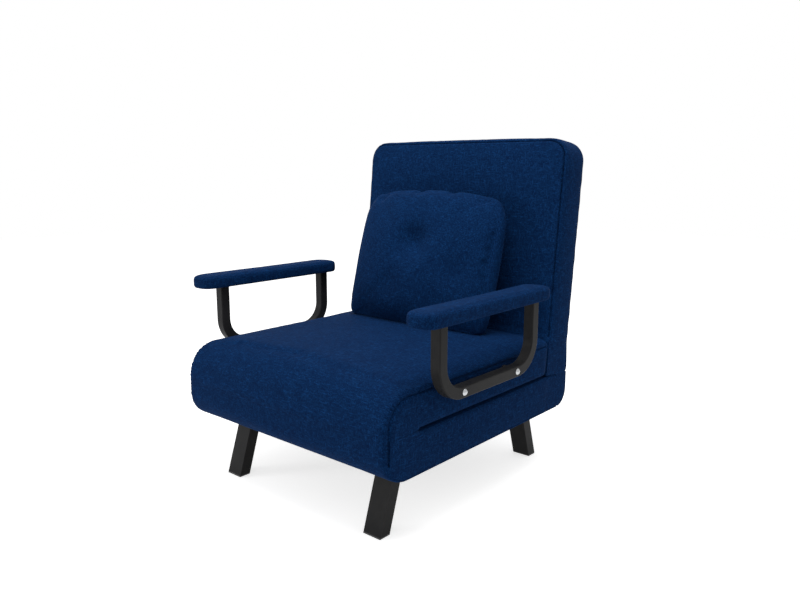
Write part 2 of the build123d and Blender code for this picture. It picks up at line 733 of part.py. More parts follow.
# Arm frames: a bent tube with a flat bar across its two ends
bar_bottom_z = pad_bottom_z - ARM_BAR
tube_front_y = ARM_FRONT_Y + TUBE / 2
tube_rear_y = ARM_REAR_Y - TUBE / 2
with BuildPart() as arm_frame:
    with BuildLine(Plane.YZ.offset(arm_x)) as arm_path:
        FilletPolyline(
            (tube_front_y, bar_bottom_z),
            (tube_front_y, SEAT_FRAME_Z),
            (tube_rear_y, SEAT_FRAME_Z),
            (tube_rear_y, bar_bottom_z),
            radius=ARM_BEND_RADIUS,
        )
    with BuildSketch(Plane(origin=arm_path.line @ 0, x_dir=(1, 0, 0), z_dir=arm_path.line % 0)):
        RectangleRounded(TUBE, TUBE, ARM_TUBE_CORNER)
        RectangleRounded(
            TUBE - 2 * TUBE_WALL,
            TUBE - 2 * TUBE_WALL,
            ARM_TUBE_CORNER - TUBE_WALL,
            mode=Mode.SUBTRACT,
        )
    sweep(path=arm_path.line)
    with Locations((arm_x, arm_middle_y, bar_bottom_z + ARM_BAR / 2)):
        Box(TUBE, ARM_REAR_Y - ARM_FRONT_Y, ARM_BAR)
    arm_hole_radius = ARM_BOLT_RADIUS + ARM_HOLE_GAP
    add(bar_along_x(arm_hole_radius, arm_in_x, arm_out_x, arm_bolt_places), mode=Mode.SUBTRACT)
    with BuildSketch(Plane.XY.offset(bar_bottom_z)):
        with Locations(*[(arm_x, y) for y in pad_screw_ys]):
            Circle(PAD_SCREW_RADIUS + SCREW_GAP)
    extrude(amount=ARM_BAR, mode=Mode.SUBTRACT)
save_pair(arm_frame.part, "arm_frame")

# Arm pads on their boards
board_width = PAD_WIDTH - 2 * PAD_BOARD_MARGIN
board_length = pad_length - 2 * PAD_BOARD_MARGIN
board_corner = PAD_CORNER_RADIUS - PAD_BOARD_MARGIN
with BuildPart() as arm_pad_board:
    with BuildSketch(Plane.XY.offset(pad_bottom_z)):
        with Locations((arm_x, pad_middle_y)):
            RectangleRounded(board_width, board_length, board_corner)
    extrude(amount=PAD_BOARD)
    with BuildSketch(Plane.XY.offset(pad_bottom_z)):
        with Locations(*[(arm_x, y) for y in pad_screw_ys]):
            Circle(PAD_SCREW_RADIUS + SCREW_GAP)
    extrude(amount=PAD_SCREW_BITE, mode=Mode.SUBTRACT)
save_pair(arm_pad_board.part, "arm_pad_board")

with BuildPart() as arm_pad:
    with BuildSketch(Plane.XY.offset(pad_bottom_z)):
        with Locations((arm_x, pad_middle_y)):
            RectangleRounded(PAD_WIDTH, pad_length, PAD_CORNER_RADIUS)
    extrude(amount=PAD_THICKNESS)
    fillet(arm_pad.faces().sort_by(Axis.Z)[-1].edges(), PAD_TOP_ROUND)
    fillet(arm_pad.faces().sort_by(Axis.Z)[0].edges(), PAD_BOTTOM_ROUND)
    with BuildSketch(Plane.XY.offset(pad_bottom_z)):
        with Locations((arm_x, pad_middle_y)):
            RectangleRounded(
                board_width + 2 * POCKET_GAP,
                board_length + 2 * POCKET_GAP,
                board_corner + POCKET_GAP,
            )
    extrude(amount=PAD_BOARD, mode=Mode.SUBTRACT)
save_pair(arm_pad.part, "arm_pad")

with BuildPart() as arm_pad_screws:
    with Locations(*[(arm_x, y, bar_bottom_z) for y in pad_screw_ys]):
        Cylinder(
            PAD_SCREW_HEAD_RADIUS, PAD_SCREW_HEAD, align=(Align.CENTER, Align.CENTER, Align.MAX)
        )
        Cylinder(
            PAD_SCREW_RADIUS,
            ARM_BAR + PAD_SCREW_BITE,
            align=(Align.CENTER, Align.CENTER, Align.MIN),
        )
    mirror(about=Plane.YZ)
save(arm_pad_screws.part, "arm_pad_screws")

# Arm bolts with their spacers and nuts
bolt_end_x = rail_in_x - NUT_HEIGHT - ARM_BOLT_TAIL
dome_radius = (ARM_BOLT_HEAD_RADIUS**2 + ARM_BOLT_HEAD**2) / (2 * ARM_BOLT_HEAD)
with BuildPart() as arm_bolts:
    add(bar_along_x(ARM_BOLT_RADIUS, bolt_end_x, arm_out_x, arm_bolt_places))
    for y, z in arm_bolt_places:
        with BuildSketch(Plane(origin=(arm_out_x, y, z), x_dir=(1, 0, 0), z_dir=(0, 0, 1))):
            with BuildLine():
                Polyline((ARM_BOLT_HEAD, 0), (0, 0), (0, ARM_BOLT_HEAD_RADIUS))
                RadiusArc((0, ARM_BOLT_HEAD_RADIUS), (ARM_BOLT_HEAD, 0), dome_radius)
            make_face()
        revolve(axis=Axis((arm_out_x, y, z), (1, 0, 0)))
    mirror(about=Plane.YZ)
save(arm_bolts.part, "arm_bolts")

with BuildPart() as arm_spacers:
    add(bar_along_x(SPACER_RADIUS, seat_rail_out_x, arm_in_x, arm_bolt_places))
    bore = bar_along_x(ARM_BOLT_RADIUS + ARM_HOLE_GAP, seat_rail_out_x, arm_in_x, arm_bolt_places)
    add(bore, mode=Mode.SUBTRACT)
save(arm_spacers.part, "arm_spacers")

with BuildPart() as arm_nuts:
    with BuildSketch(Plane.YZ.offset(rail_in_x - NUT_HEIGHT)):
        with Locations(*arm_bolt_places):
            RegularPolygon(NUT_RADIUS, 6)
            Circle(ARM_BOLT_RADIUS + PIN_RUNNING_GAP, mode=Mode.SUBTRACT)
    extrude(amount=NUT_HEIGHT)
    mirror(about=Plane.YZ)
save(arm_nuts.part, "arm_nuts")

# Backrest frame, board and padding, parted at the middle of its frame
with BuildPart() as back_frame:
    cross_places = [
        back_frame_start + TUBE / 2,
        (back_frame_start + back_frame_end) / 2,
        back_frame_end - TUBE / 2,
    ]
    tube_plane = back_plane.offset(-back_tube_middle)
    add(tube_frame(tube_plane, seat_rail_out_x, back_frame_start, back_frame_end, cross_places))
    add(recline_back.screw_holes(), mode=Mode.SUBTRACT)
save(back_frame.part, "back_frame")

back_frame_length = back_frame_end - back_frame_start
back_frame_middle = (back_frame_end + back_frame_start) / 2
with BuildPart() as back_board:
    with BuildSketch(back_plane.offset(-back_board_front)):
        with Locations((0, back_frame_middle)):
            Rectangle(2 * seat_rail_out_x, back_frame_length)
    extrude(amount=-BOARD)
save(back_board.part, "back_board")

parting_plane = back_plane.offset(-back_tube_middle)
back_pocket = (pocket_width, back_frame_length + 2 * POCKET_GAP)
with BuildPart() as back_front_cushion:
    add(back_block())
    split(bisect_by=parting_plane, keep=Keep.TOP)
    with BuildSketch(parting_plane):
        with Locations((0, back_frame_middle)):
            Rectangle(*back_pocket)
    extrude(amount=back_tube_middle - back_board_front, mode=Mode.SUBTRACT)
    for room in (recline_back.slots(), recline_pocket):
        add(room, mode=Mode.SUBTRACT)
save(back_front_cushion.part, "back_front_cushion")

with BuildPart() as back_rear_cushion:
    add(back_block())
    split(bisect_by=parting_plane, keep=Keep.BOTTOM)
    with BuildSketch(parting_plane):
        with Locations((0, back_frame_middle)):
            Rectangle(*back_pocket)
    extrude(amount=-TUBE / 2, mode=Mode.SUBTRACT)
    for room in (recline_back.slots(), recline_pocket):
        add(room, mode=Mode.SUBTRACT)
save(back_rear_cushion.part, "back_rear_cushion")

# Pillow: crowned on both faces, drawn in at its sides and gathered at one sewn tuft
lean_sin = math.sin(math.radians(PILLOW_LEAN))
lean_cos = math.cos(math.radians(PILLOW_LEAN))
pillow_rise = PILLOW_SEAT_GAP + PILLOW_END_THICKNESS / 2 * lean_sin
pillow_foot = Vector(PILLOW_X, PILLOW_Y, SEAT_EDGE_Z + SEAT_CROWN + pillow_rise)
pillow_up = Vector(0, lean_sin, lean_cos)
with BuildPart() as pillow:
    for i in range(PILLOW_SECTIONS):
        from_middle = -math.cos(math.pi * i / (PILLOW_SECTIONS - 1))
        height = PILLOW_HEIGHT * (1 + from_middle) / 2
        fullness = math.sqrt(1 - from_middle**2)
        drawn_in = PILLOW_WAIST * (1 - from_middle**2)
        end = (PILLOW_END_WIDTH + (PILLOW_WIDTH - PILLOW_END_WIDTH) * math.sqrt(fullness) - drawn_in) / 2
        crown = (PILLOW_END_THICKNESS + (PILLOW_THICKNESS - PILLOW_END_THICKNESS) * fullness) / 2
        edge = PILLOW_EDGE_THICKNESS / 2
        with BuildSketch(Plane(origin=pillow_foot + pillow_up * height, x_dir=(1, 0, 0), z_dir=pillow_up)):
            with BuildLine():
                ThreePointArc((-end, -edge), (0, -crown), (end, -edge))
                Line((end, -edge), (end, edge))
                ThreePointArc((end, edge), (0, crown), (-end, edge))
                Line((-end, edge), (-end, -edge))
            make_face()
    loft()
    tuft_plane = Plane(origin=pillow_foot, x_dir=(1, 0, 0), z_dir=(0, -lean_cos, lean_sin))
    with Locations(tuft_plane):
        with Locations((TUFT_X, TUFT_HEIGHT, PILLOW_THICKNESS / 2 + TUFT_RADIUS - TUFT_DEPTH)):
            Sphere(TUFT_RADIUS, mode=Mode.SUBTRACT)
save(pillow.part, "pillow")
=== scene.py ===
"""Looks of a convertible reclining armchair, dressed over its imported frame.

The chair is a padded body of two seat layers, a padded backrest, two padded arms on bent steel
tube, four splayed steel legs and a loose pillow. The upper seat layer flips forward over the
nose and the backrest reclines, so the covers are cut where the real covers part or bend there.
All sizes are in metres: X to the sitter's left, the chair facing -Y, Z up from the floor.
"""

import json
import logging
import math
from contextlib import contextmanager
from dataclasses import dataclass, field
from enum import Enum
from typing import Callable, Iterator, Sequence

import bpy
import numpy as np
from mathutils import Matrix, Vector
from mathutils.bvhtree import BVHTree
from mathutils.kdtree import KDTree


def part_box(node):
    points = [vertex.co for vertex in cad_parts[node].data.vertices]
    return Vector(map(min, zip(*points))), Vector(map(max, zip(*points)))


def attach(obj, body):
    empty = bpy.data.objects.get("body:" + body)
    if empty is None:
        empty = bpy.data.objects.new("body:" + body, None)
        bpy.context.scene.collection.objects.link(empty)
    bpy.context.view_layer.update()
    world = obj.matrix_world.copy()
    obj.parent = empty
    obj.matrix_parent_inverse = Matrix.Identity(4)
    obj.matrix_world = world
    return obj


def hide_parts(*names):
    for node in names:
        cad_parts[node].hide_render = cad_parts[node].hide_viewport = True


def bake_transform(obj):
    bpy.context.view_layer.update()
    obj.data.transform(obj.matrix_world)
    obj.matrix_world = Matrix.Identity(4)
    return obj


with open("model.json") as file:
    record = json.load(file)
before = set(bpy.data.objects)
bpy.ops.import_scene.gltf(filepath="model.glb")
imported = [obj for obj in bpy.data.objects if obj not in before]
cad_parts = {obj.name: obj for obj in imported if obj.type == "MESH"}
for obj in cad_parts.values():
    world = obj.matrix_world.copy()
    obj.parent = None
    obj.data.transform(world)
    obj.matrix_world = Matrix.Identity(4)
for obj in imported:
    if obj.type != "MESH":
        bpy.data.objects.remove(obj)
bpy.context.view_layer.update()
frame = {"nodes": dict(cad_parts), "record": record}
LOG = logging.getLogger("armchair")
Line = np.ndarray

# How near an edge or a face has to lie to a place to count as being there
TOUCH = 1e-4
# Spacing of the points that tell how far along a line something is
RUN_STEP = 0.002
# Steps in each quarter round of a drawn line
ARC_STEPS = 12
# The two sides of the chair, as signs of X
SIDES = (-1, 1)
# How near two points have to lie to be welded
WELD = 0.00002
# The least length that a move is divided by
TINY = 1e-9


class Body(str, Enum):
    """The moving bodies that pieces ride on."""

    BASE = "base"
    SEAT = "seat"
    BACK = "back"
    PILLOW = "pillow"


class Slot(str, Enum):
    """The record's material slots."""

    FABRIC = "navy_fabric"
    BLACK_STEEL = "black_steel"
    FRAME_STEEL = "frame_steel"
    ZINC = "zinc_steel"
    BRIGHT = "bright_steel"
    PLYWOOD = "plywood"
    PLASTIC = "black_plastic"
    DUST_CLOTH = "dust_cloth"


# Shading helpers


def linear(code: str) -> tuple[float, float, float, float]:
    """Turn an sRGB hex colour into linear light.

    Args:
        code: The colour as six hex digits, with or without a hash mark.

    Returns:
        Red, green, blue and an alpha of 1.
    """
    digits = code.lstrip("#")
    values = [int(digits[i : i + 2], 16) / 255 for i in (0, 2, 4)]
    red, green, blue = (
        v / 12.92 if v <= 0.04045 else ((v + 0.055) / 1.055) ** 2.4 for v in values
    )
    return red, green, blue, 1.0


def per_metre(millimetres: float) -> float:
    """Turn a feature's size in millimetres into a texture scale on coordinates in metres."""
    return 1000.0 / millimetres


def add(
    tree: bpy.types.NodeTree, kind: str, inputs: dict | None = None, **settings
) -> bpy.types.Node:
    """Add a node with its settings, values and links.

    Args:
        tree: The node tree that gets the node.
        kind: The node's type name.
        inputs: Socket name or number to a value, or to the output socket that feeds it.
        **settings: Properties of the node itself.

    Returns:
        The new node.
    """
    made = tree.nodes.new(kind)
    for name, value in settings.items():
        setattr(made, name, value)
    for name, value in (inputs or {}).items():
        if isinstance(value, bpy.types.NodeSocket):
            tree.links.new(value, made.inputs[name])
        else:
            made.inputs[name].default_value = value
    return made


def new_material(name: str) -> tuple[bpy.types.Material, bpy.types.NodeTree]:
    """Make an empty node material.

    Args:
        name: The material's name.

    Returns:
        The material and its node tree.
    """
    material = bpy.data.materials.new(name)
    material.use_nodes = True
    material.node_tree.nodes.clear()
    return material, material.node_tree


def own_place(tree: bpy.types.NodeTree) -> bpy.types.NodeSocket:
    """Give the coordinates that hold a pattern still on its piece."""
    return add(tree, "ShaderNodeTexCoord").outputs["Object"]


def stretched(
    tree: bpy.types.NodeTree, place: bpy.types.NodeSocket, scale: tuple[float, float, float]
) -> bpy.types.NodeSocket:
    """Scale coordinates by a factor along each axis."""
    return add(tree, "ShaderNodeMapping", {"Vector": place, "Scale": scale}).outputs[0]


def noise(
    tree: bpy.types.NodeTree, place: bpy.types.NodeSocket, scale: float, detail: float,
    roughness: float = 0.5, distortion: float = 0.0,
) -> bpy.types.NodeSocket:
    """Add a noise pattern.

    Args:
        tree: The node tree that gets it.
        place: The coordinates that it reads.
        scale: How many features it has to a unit of those coordinates.
        detail: How many finer layers it has.
        roughness: How strong the finer layers are.
        distortion: How far it is bent.

    Returns:
        Its value, from 0 to 1.
    """
    return add(tree, "ShaderNodeTexNoise", {
        "Vector": place, "Scale": scale, "Detail": detail,
        "Roughness": roughness, "Distortion": distortion,
    }).outputs["Fac"]


def larger(
    tree: bpy.types.NodeTree, first: bpy.types.NodeSocket, *others: bpy.types.NodeSocket
) -> bpy.types.NodeSocket:
    """Give the largest of some values.

    Args:
        tree: The node tree that gets the nodes.
        first: One value.
        *others: The values that it is held against in turn.

    Returns:
        The largest value.
    """
    largest = first
    for value in others:
        pair = {0: largest, 1: value}
        largest = add(tree, "ShaderNodeMath", pair, operation="MAXIMUM").outputs[0]
    return largest


def ramp(
    tree: bpy.types.NodeTree, value: bpy.types.NodeSocket, *stops: tuple[float, str]
) -> bpy.types.NodeSocket:
    """Colour a value by a ramp.

    Args:
        tree: The node tree that gets the ramp.
        value: What the ramp reads.
        *stops: The place on the ramp and the hex colour of each stop, from low to high.

    Returns:
        The colour.
    """
    made = add(tree, "ShaderNodeValToRGB", {"Fac": value})
    elements = made.color_ramp.elements
    elements[0].position, elements[0].color = stops[0][0], linear(stops[0][1])
    elements[1].position, elements[1].color = stops[-1][0], linear(stops[-1][1])
    for place, code in stops[1:-1]:
        elements.new(place).color = linear(code)
    return made.outputs["Color"]


def raised(
    tree: bpy.types.NodeTree, height: bpy.types.NodeSocket, strength: float, millimetres: float
) -> bpy.types.NodeSocket:
    """Tilt the surface as if a pattern stood out from it by so many millimetres."""
    return add(tree, "ShaderNodeBump", {
        "Strength": strength, "Distance": millimetres / 1000, "Height": height,
    }).outputs["Normal"]


def surface(tree: bpy.types.NodeTree, sockets: dict) -> None:
    """End a material in one shader with these values and links."""
    shader = add(tree, "ShaderNodeBsdfPrincipled", sockets)
    add(tree, "ShaderNodeOutputMaterial", {"Surface": shader.outputs["BSDF"]})


@dataclass(frozen=True)
class WovenFabric:
    """Dyed polyester linen-look weave: matt navy, slubbed threads both ways, a soft bloom."""

    name: str = "navy_linen_weave"
    deep: str = "#04193A"
    mid: str = "#082549"
    pale: str = "#0E3463"
    bloom: str = "#6A83B5"
    stops: tuple[float, float, float] = (0.53, 0.65, 0.78)
    thread_mm: float = 2.3
    slub_mm: float = 14.0
    cloud_mm: float = 30.0
    cloud_weight: float = 0.10
    relief: float = 0.35
    relief_mm: float = 0.6
    bloom_weight: float = 0.075
    bloom_roughness: float = 0.3
    roughness: float = 0.86
    specular: float = 0.03
    ior: float = 1.45

    def make(self) -> bpy.types.Material:
        """Draw the weave as three stretched noises, so that two of them cross on any face.

        The real threads are about 0.8 mm apart and would not show from where the camera stands,
        so they are drawn about three times as coarse.

        Returns:
            The material.
        """
        material, tree = new_material(self.name)
        place = own_place(tree)
        fine, long = per_metre(self.thread_mm), per_metre(self.slub_mm)
        # Slubs along each axis give the eye short pale threads that cross, as in linen
        runs = ((long, fine, fine), (fine, long, fine), (fine, fine, long))
        threads = [
            noise(tree, stretched(tree, place, run), 1.0, detail=2.0, roughness=0.6)
            for run in runs
        ]
        weave = larger(tree, *threads)
        # A broad cloud keeps the large faces from looking printed
        cloud = noise(tree, place, per_metre(self.cloud_mm), detail=3.0, roughness=0.55)
        both = add(tree, "ShaderNodeMath", {
            0: cloud, 1: self.cloud_weight, 2: weave,
        }, operation="MULTIPLY_ADD").outputs[0]
        # The sheen gives the eye the paler nap that shows where the cloth turns away
        surface(tree, {
            "Base Color": ramp(tree, both, *zip(self.stops, (self.deep, self.mid, self.pale))),
            "Roughness": self.roughness, "IOR": self.ior, "Specular IOR Level": self.specular,
            "Sheen Weight": self.bloom_weight, "Sheen Roughness": self.bloom_roughness,
            "Sheen Tint": linear(self.bloom),
            "Normal": raised(tree, weave, self.relief, self.relief_mm),
        })
        return material


@dataclass(frozen=True)
class Coating:
    """A sprayed, moulded or plated skin: one colour, a faint grain and slightly uneven gloss."""

    name: str
    colour: str
    worn: str
    roughness: float
    metallic: float = 0.0
    grain_mm: float = 1.6
    relief_mm: float = 0.05
    specular: float = 0.5
    cloud_mm: float = 45.0
    relief: float = 0.35
    gloss_spread: tuple[float, float] = (-0.05, 0.06)

    def make(self) -> bpy.types.Material:
        """Vary tone and gloss with a broad cloud, and raise a fine grain.

        Returns:
            The material.
        """
        material, tree = new_material(self.name)
        place = own_place(tree)
        grain = noise(tree, place, per_metre(self.grain_mm), detail=2.0)
        cloud = noise(tree, place, per_metre(self.cloud_mm), detail=4.0, roughness=0.6)
        # Uneven gloss breaks a highlight up, so that the skin looks made and handled
        smooth, dull = (self.roughness + change for change in self.gloss_spread)
        gloss = add(tree, "ShaderNodeMapRange", {
            "Value": cloud, "From Min": 0.3, "From Max": 0.7, "To Min": smooth, "To Max": dull,
        })
        surface(tree, {
            "Base Color": ramp(tree, cloud, (0.35, self.colour), (0.75, self.worn)),
            "Roughness": gloss.outputs["Result"], "Metallic": self.metallic,
            "Specular IOR Level": self.specular,
            "Normal": raised(tree, grain, self.relief, self.relief_mm),
        })
        return material


@dataclass(frozen=True)
class Ply:
    """Bare rotary-cut plywood: long pale and brown figure along the board."""

    name: str = "bare_birch_plywood"
    pale: str = "#C9A878"
    dark: str = "#9A744A"
    figure_mm: float = 9.0
    length_mm: float = 220.0
    roughness: float = 0.7

    def make(self) -> bpy.types.Material:
        """Stretch one noise along X for the figure.

        Returns:
            The material.
        """
        material, tree = new_material(self.name)
        along, across = per_metre(self.length_mm), per_metre(self.figure_mm)
        run = stretched(tree, own_place(tree), (along, across, across))
        # Long wavy streaks give the eye the grain of a peeled log
        figure = noise(tree, run, 1.0, detail=5.0, distortion=0.6)
        surface(tree, {
            "Base Color": ramp(tree, figure, (0.3, self.dark), (0.7, self.pale)),
            "Roughness": self.roughness,
        })
        return material


# Modelling helpers


def deselect() -> None:
    """Deselect every object."""
    bpy.ops.object.select_all(action="DESELECT")


def choose(piece: bpy.types.Object, *others: bpy.types.Object) -> None:
    """Select these objects alone and make the first one active.

    Args:
        piece: The object that becomes active.
        *others: The objects that are selected with it.
    """
    deselect()
    for each in (piece, *others):
        each.select_set(True)
    bpy.context.view_layer.objects.active = piece


def points(piece: bpy.types.Object) -> np.ndarray:
    """Give a mesh's vertices.

    Args:
        piece: The object.

    Returns:
        Rows x, y, z.
    """
    flat = np.zeros(len(piece.data.vertices) * 3)
    piece.data.vertices.foreach_get("co", flat)
    return flat.reshape(-1, 3)


def normals(piece: bpy.types.Object) -> np.ndarray:
    """Give a mesh's vertex normals.

    Args:
        piece: The object.

    Returns:
        Rows x, y, z.
    """
    flat = np.zeros(len(piece.data.vertices) * 3)
    piece.data.vertex_normals.foreach_get("vector", flat)
    return flat.reshape(-1, 3)


def move(piece: bpy.types.Object, to: np.ndarray) -> None:
    """Put a mesh's vertices at new places."""
    piece.data.vertices.foreach_set("co", to.astype(np.float32).ravel())
    piece.data.update()


def apply(piece: bpy.types.Object, kind: str, **settings) -> None:
    """Add a modifier with these settings and apply it.

    Args:
        piece: The object that it changes.
        kind: The modifier's type.
        **settings: The modifier's properties.
    """
    choose(piece)
    bpy.ops.object.modifier_add(type=kind)
    modifier = piece.modifiers[-1]
    for name, value in settings.items():
        setattr(modifier, name, value)
    bpy.ops.object.modifier_apply(modifier=modifier.name)


@contextmanager
def editing(piece: bpy.types.Object) -> Iterator[None]:
    """Hold a piece in edit mode with all of it selected.

    Args:
        piece: The object.

    Yields:
        Nothing, while edit mode lasts.
    """
    choose(piece)
    bpy.ops.object.mode_set(mode="EDIT")
    bpy.ops.mesh.select_all(action="SELECT")
    yield
    bpy.ops.object.mode_set(mode="OBJECT")


@contextmanager
def selected(piece: bpy.types.Object, kind: str, flags: Sequence[bool]) -> Iterator[None]:
    """Hold a piece in edit mode with only some of its elements selected.

    Args:
        piece: The object.
        kind: VERT, EDGE or FACE.
        flags: One truth value for each vertex, edge or face.

    Yields:
        Nothing, while edit mode lasts.
    """
    choose(piece)
    bpy.ops.object.mode_set(mode="EDIT")
    bpy.ops.mesh.select_mode(type=kind)
    bpy.ops.mesh.select_all(action="DESELECT")
    bpy.ops.object.mode_set(mode="OBJECT")
    mesh = piece.data
    elements = {"VERT": mesh.vertices, "EDGE": mesh.edges, "FACE": mesh.polygons}[kind]
    elements.foreach_set("select", np.array(flags, dtype=bool))
    bpy.ops.object.mode_set(mode="EDIT")
    yield
    bpy.ops.object.mode_set(mode="OBJECT")


def block(name: str, low: Sequence[float], high: Sequence[float]) -> bpy.types.Object:
    """Add a box between two corners.

    Args:
        name: The object's name.
        low: Its lowest corner.
        high: Its highest corner.

    Returns:
        The object, with its place in its mesh.
    """
    deselect()
    size = [b - a for a, b in zip(low, high)]
    middle = [(a + b) / 2 for a, b in zip(low, high)]
    bpy.ops.mesh.primitive_cube_add(size=1.0, location=middle, scale=size)
    piece = bpy.context.object
    piece.name = name
    bpy.ops.object.transform_apply(location=True, rotation=True, scale=True)
    return piece


def bevel(
    piece: bpy.types.Object, test: Callable[[Vector], bool], radius: float, segments: int
) -> None:
    """Round the edges whose middle passes a test.

    Args:
        piece: The object.
        test: Says of an edge's middle whether it counts.
        radius: The rounding's radius.
        segments: How many faces the rounding has.
    """
    corners = piece.data.vertices
    ends = [[corners[i].co for i in edge.vertices] for edge in piece.data.edges]
    with selected(piece, "EDGE", [test((a + b) / 2) for a, b in ends]):
        bpy.ops.mesh.bevel(
            offset=radius, offset_type="OFFSET", segments=segments, affect="EDGES"
        )


def copy_of(piece: bpy.types.Object, name: str) -> bpy.types.Object:
    """Copy an object with its own mesh.

    Args:
        piece: The object.
        name: The copy's name.

    Returns:
        The copy.
    """
    choose(piece)
    bpy.ops.object.duplicate()
    made = bpy.context.object
    made.name = name
    return made


def join(piece: bpy.types.Object, *others: bpy.types.Object) -> bpy.types.Object:
    """Join other objects into the first one.

    Args:
        piece: The object that takes the others in.
        *others: The objects that go into it.

    Returns:
        The first object.
    """
    choose(piece, *others)
    bpy.ops.object.join()
    return piece


def cut(
    piece: bpy.types.Object, through: Sequence[float], away: Sequence[float], keep: bool = False
) -> None:
    """Cut a closed mesh with a plane, drop what lies beyond it and close the cut.

    Args:
        piece: The object.
        through: A point on the plane.
        away: The direction of what is dropped.
        keep: Only score the line of the cut and drop nothing.
    """
    with editing(piece):
        bpy.ops.mesh.bisect(
            plane_co=through, plane_no=away, use_fill=not keep, clear_outer=not keep
        )


def weld(piece: bpy.types.Object, threshold: float) -> None:
    """Merge a mesh's doubled points."""
    with editing(piece):
        bpy.ops.mesh.remove_doubles(threshold=threshold)


def close(piece: bpy.types.Object) -> None:
    """Weld a mesh's doubled points, fill its holes and turn its faces outwards.

    Args:
        piece: The object.
    """
    weld(piece, WELD)
    with editing(piece):
        bpy.ops.mesh.fill_holes(sides=0)
        bpy.ops.mesh.select_all(action="SELECT")
        bpy.ops.mesh.normals_make_consistent(inside=False)


def remesh(piece: bpy.types.Object, voxel: float, rounds: int = 2) -> None:
    """Give a closed form an even mesh and ease its steps.

    Args:
        piece: The object.
        voxel: The mesh's spacing.
        rounds: How many rounds of smoothing follow.
    """
    apply(piece, "REMESH", mode="VOXEL", voxel_size=voxel)
    apply(piece, "SMOOTH", factor=0.5, iterations=rounds)


def fade(value: np.ndarray, start: float, end: float) -> np.ndarray:
    """Ease from 0 at start to 1 at end."""
    share = np.clip((value - start) / (end - start), 0, 1)
    return share * share * (3 - 2 * share)


def dense(line: Line, step: float) -> Line:
    """Add points along a line.

    Args:
        line: Rows x, y, z.
        step: The furthest that two neighbours may lie apart.

    Returns:
        The line with the points added.
    """
    made = []
    for a, b in zip(line[:-1], line[1:]):
        count = max(1, int(np.ceil(np.linalg.norm(b - a) / step)))
        made.extend(a + (b - a) * i / count for i in range(count))
    made.append(line[-1])
    return np.array(made)


def arc(middle: tuple[float, float], radius: float, start: float) -> list[tuple[float, float]]:
    """Draw a quarter round in a plane.

    Args:
        middle: Its middle.
        radius: Its radius.
        start: The angle that it starts from, in degrees.

    Returns:
        Its points.
    """
    angles = [math.radians(start + step * 90 / ARC_STEPS) for step in range(ARC_STEPS + 1)]
    return [
        (middle[0] + radius * math.cos(angle), middle[1] + radius * math.sin(angle))
        for angle in angles
    ]


def nearest(places: np.ndarray, lines: Sequence[Line]) -> tuple[np.ndarray, np.ndarray]:
    """Measure how far places lie from some lines.

    Args:
        places: Rows x, y, z.
        lines: The lines, each as rows x, y, z.

    Returns:
        The distance of each place, and how far along the lines its nearest point is.
    """
    spots = [dense(line, RUN_STEP) for line in lines]
    runs = [np.arange(len(spot)) * RUN_STEP for spot in spots]
    every, run = np.vstack(spots), np.concatenate(runs)
    tree = KDTree(len(every))
    for i, spot in enumerate(every):
        tree.insert(spot, i)
    tree.balance()
    found = [tree.find(place)[1:] for place in places]
    return np.array([d for _, d in found]), run[[i for i, _ in found]]


def on_surface(piece: bpy.types.Object, line: Line) -> Line:
    """Lay a line on the nearest places of a piece's surface."""
    tree = BVHTree.FromObject(piece, bpy.context.evaluated_depsgraph_get())
    return np.array([tree.find_nearest(Vector(place))[0] for place in line])


@dataclass(frozen=True)
class Stuffing:
    """Foam that pushes a cover out between its sewn lines, as a cloth under pressure."""

    slack: float = 0.01
    pressure: float = 4.0
    give: float = 0.001
    frames: int = 20
    quality: int = 5

    def swell(self, piece: bpy.types.Object, sewn: np.ndarray, cap: np.ndarray) -> None:
        """Blow a cover up, hold it at its seams and cap how far it moves.

        Args:
            piece: The cover, evenly meshed.
            sewn: One truth value for each vertex that a seam or the frame holds.
            cap: The furthest that each vertex may move, above 0.
        """
        rest, out = points(piece), normals(piece)
        group = piece.vertex_groups.new(name="sewn")
        group.add(np.flatnonzero(sewn).tolist(), 1.0, "REPLACE")
        choose(piece)
        bpy.ops.object.modifier_add(type="CLOTH")
        cloth = piece.modifiers[-1]
        cloth.collision_settings.use_collision = False
        cloth.point_cache.frame_start = 1
        cloth.point_cache.frame_end = self.frames
        weave = cloth.settings
        weave.quality = self.quality
        weave.use_pressure = True
        weave.uniform_pressure_force = self.pressure
        weave.shrink_min = -self.slack
        weave.vertex_group_mass = group.name
        weave.effector_weights.gravity = 0.0
        scene = bpy.context.scene
        for number in range(1, self.frames + 1):
            scene.frame_set(number)
        bpy.ops.object.modifier_apply(modifier=cloth.name)
        scene.frame_set(1)
        moved = points(piece) - rest
        # Foam doesn't let the cover sink in, and a long move is eased off towards the cap
        sunk = np.minimum((moved * out).sum(axis=1) + self.give, 0)
        moved -= out * sunk[:, None]
        length = np.maximum(np.linalg.norm(moved, axis=1), TINY)
        move(piece, rest + moved * (cap * np.tanh(length / cap) / length)[:, None])
        piece.vertex_groups.clear()


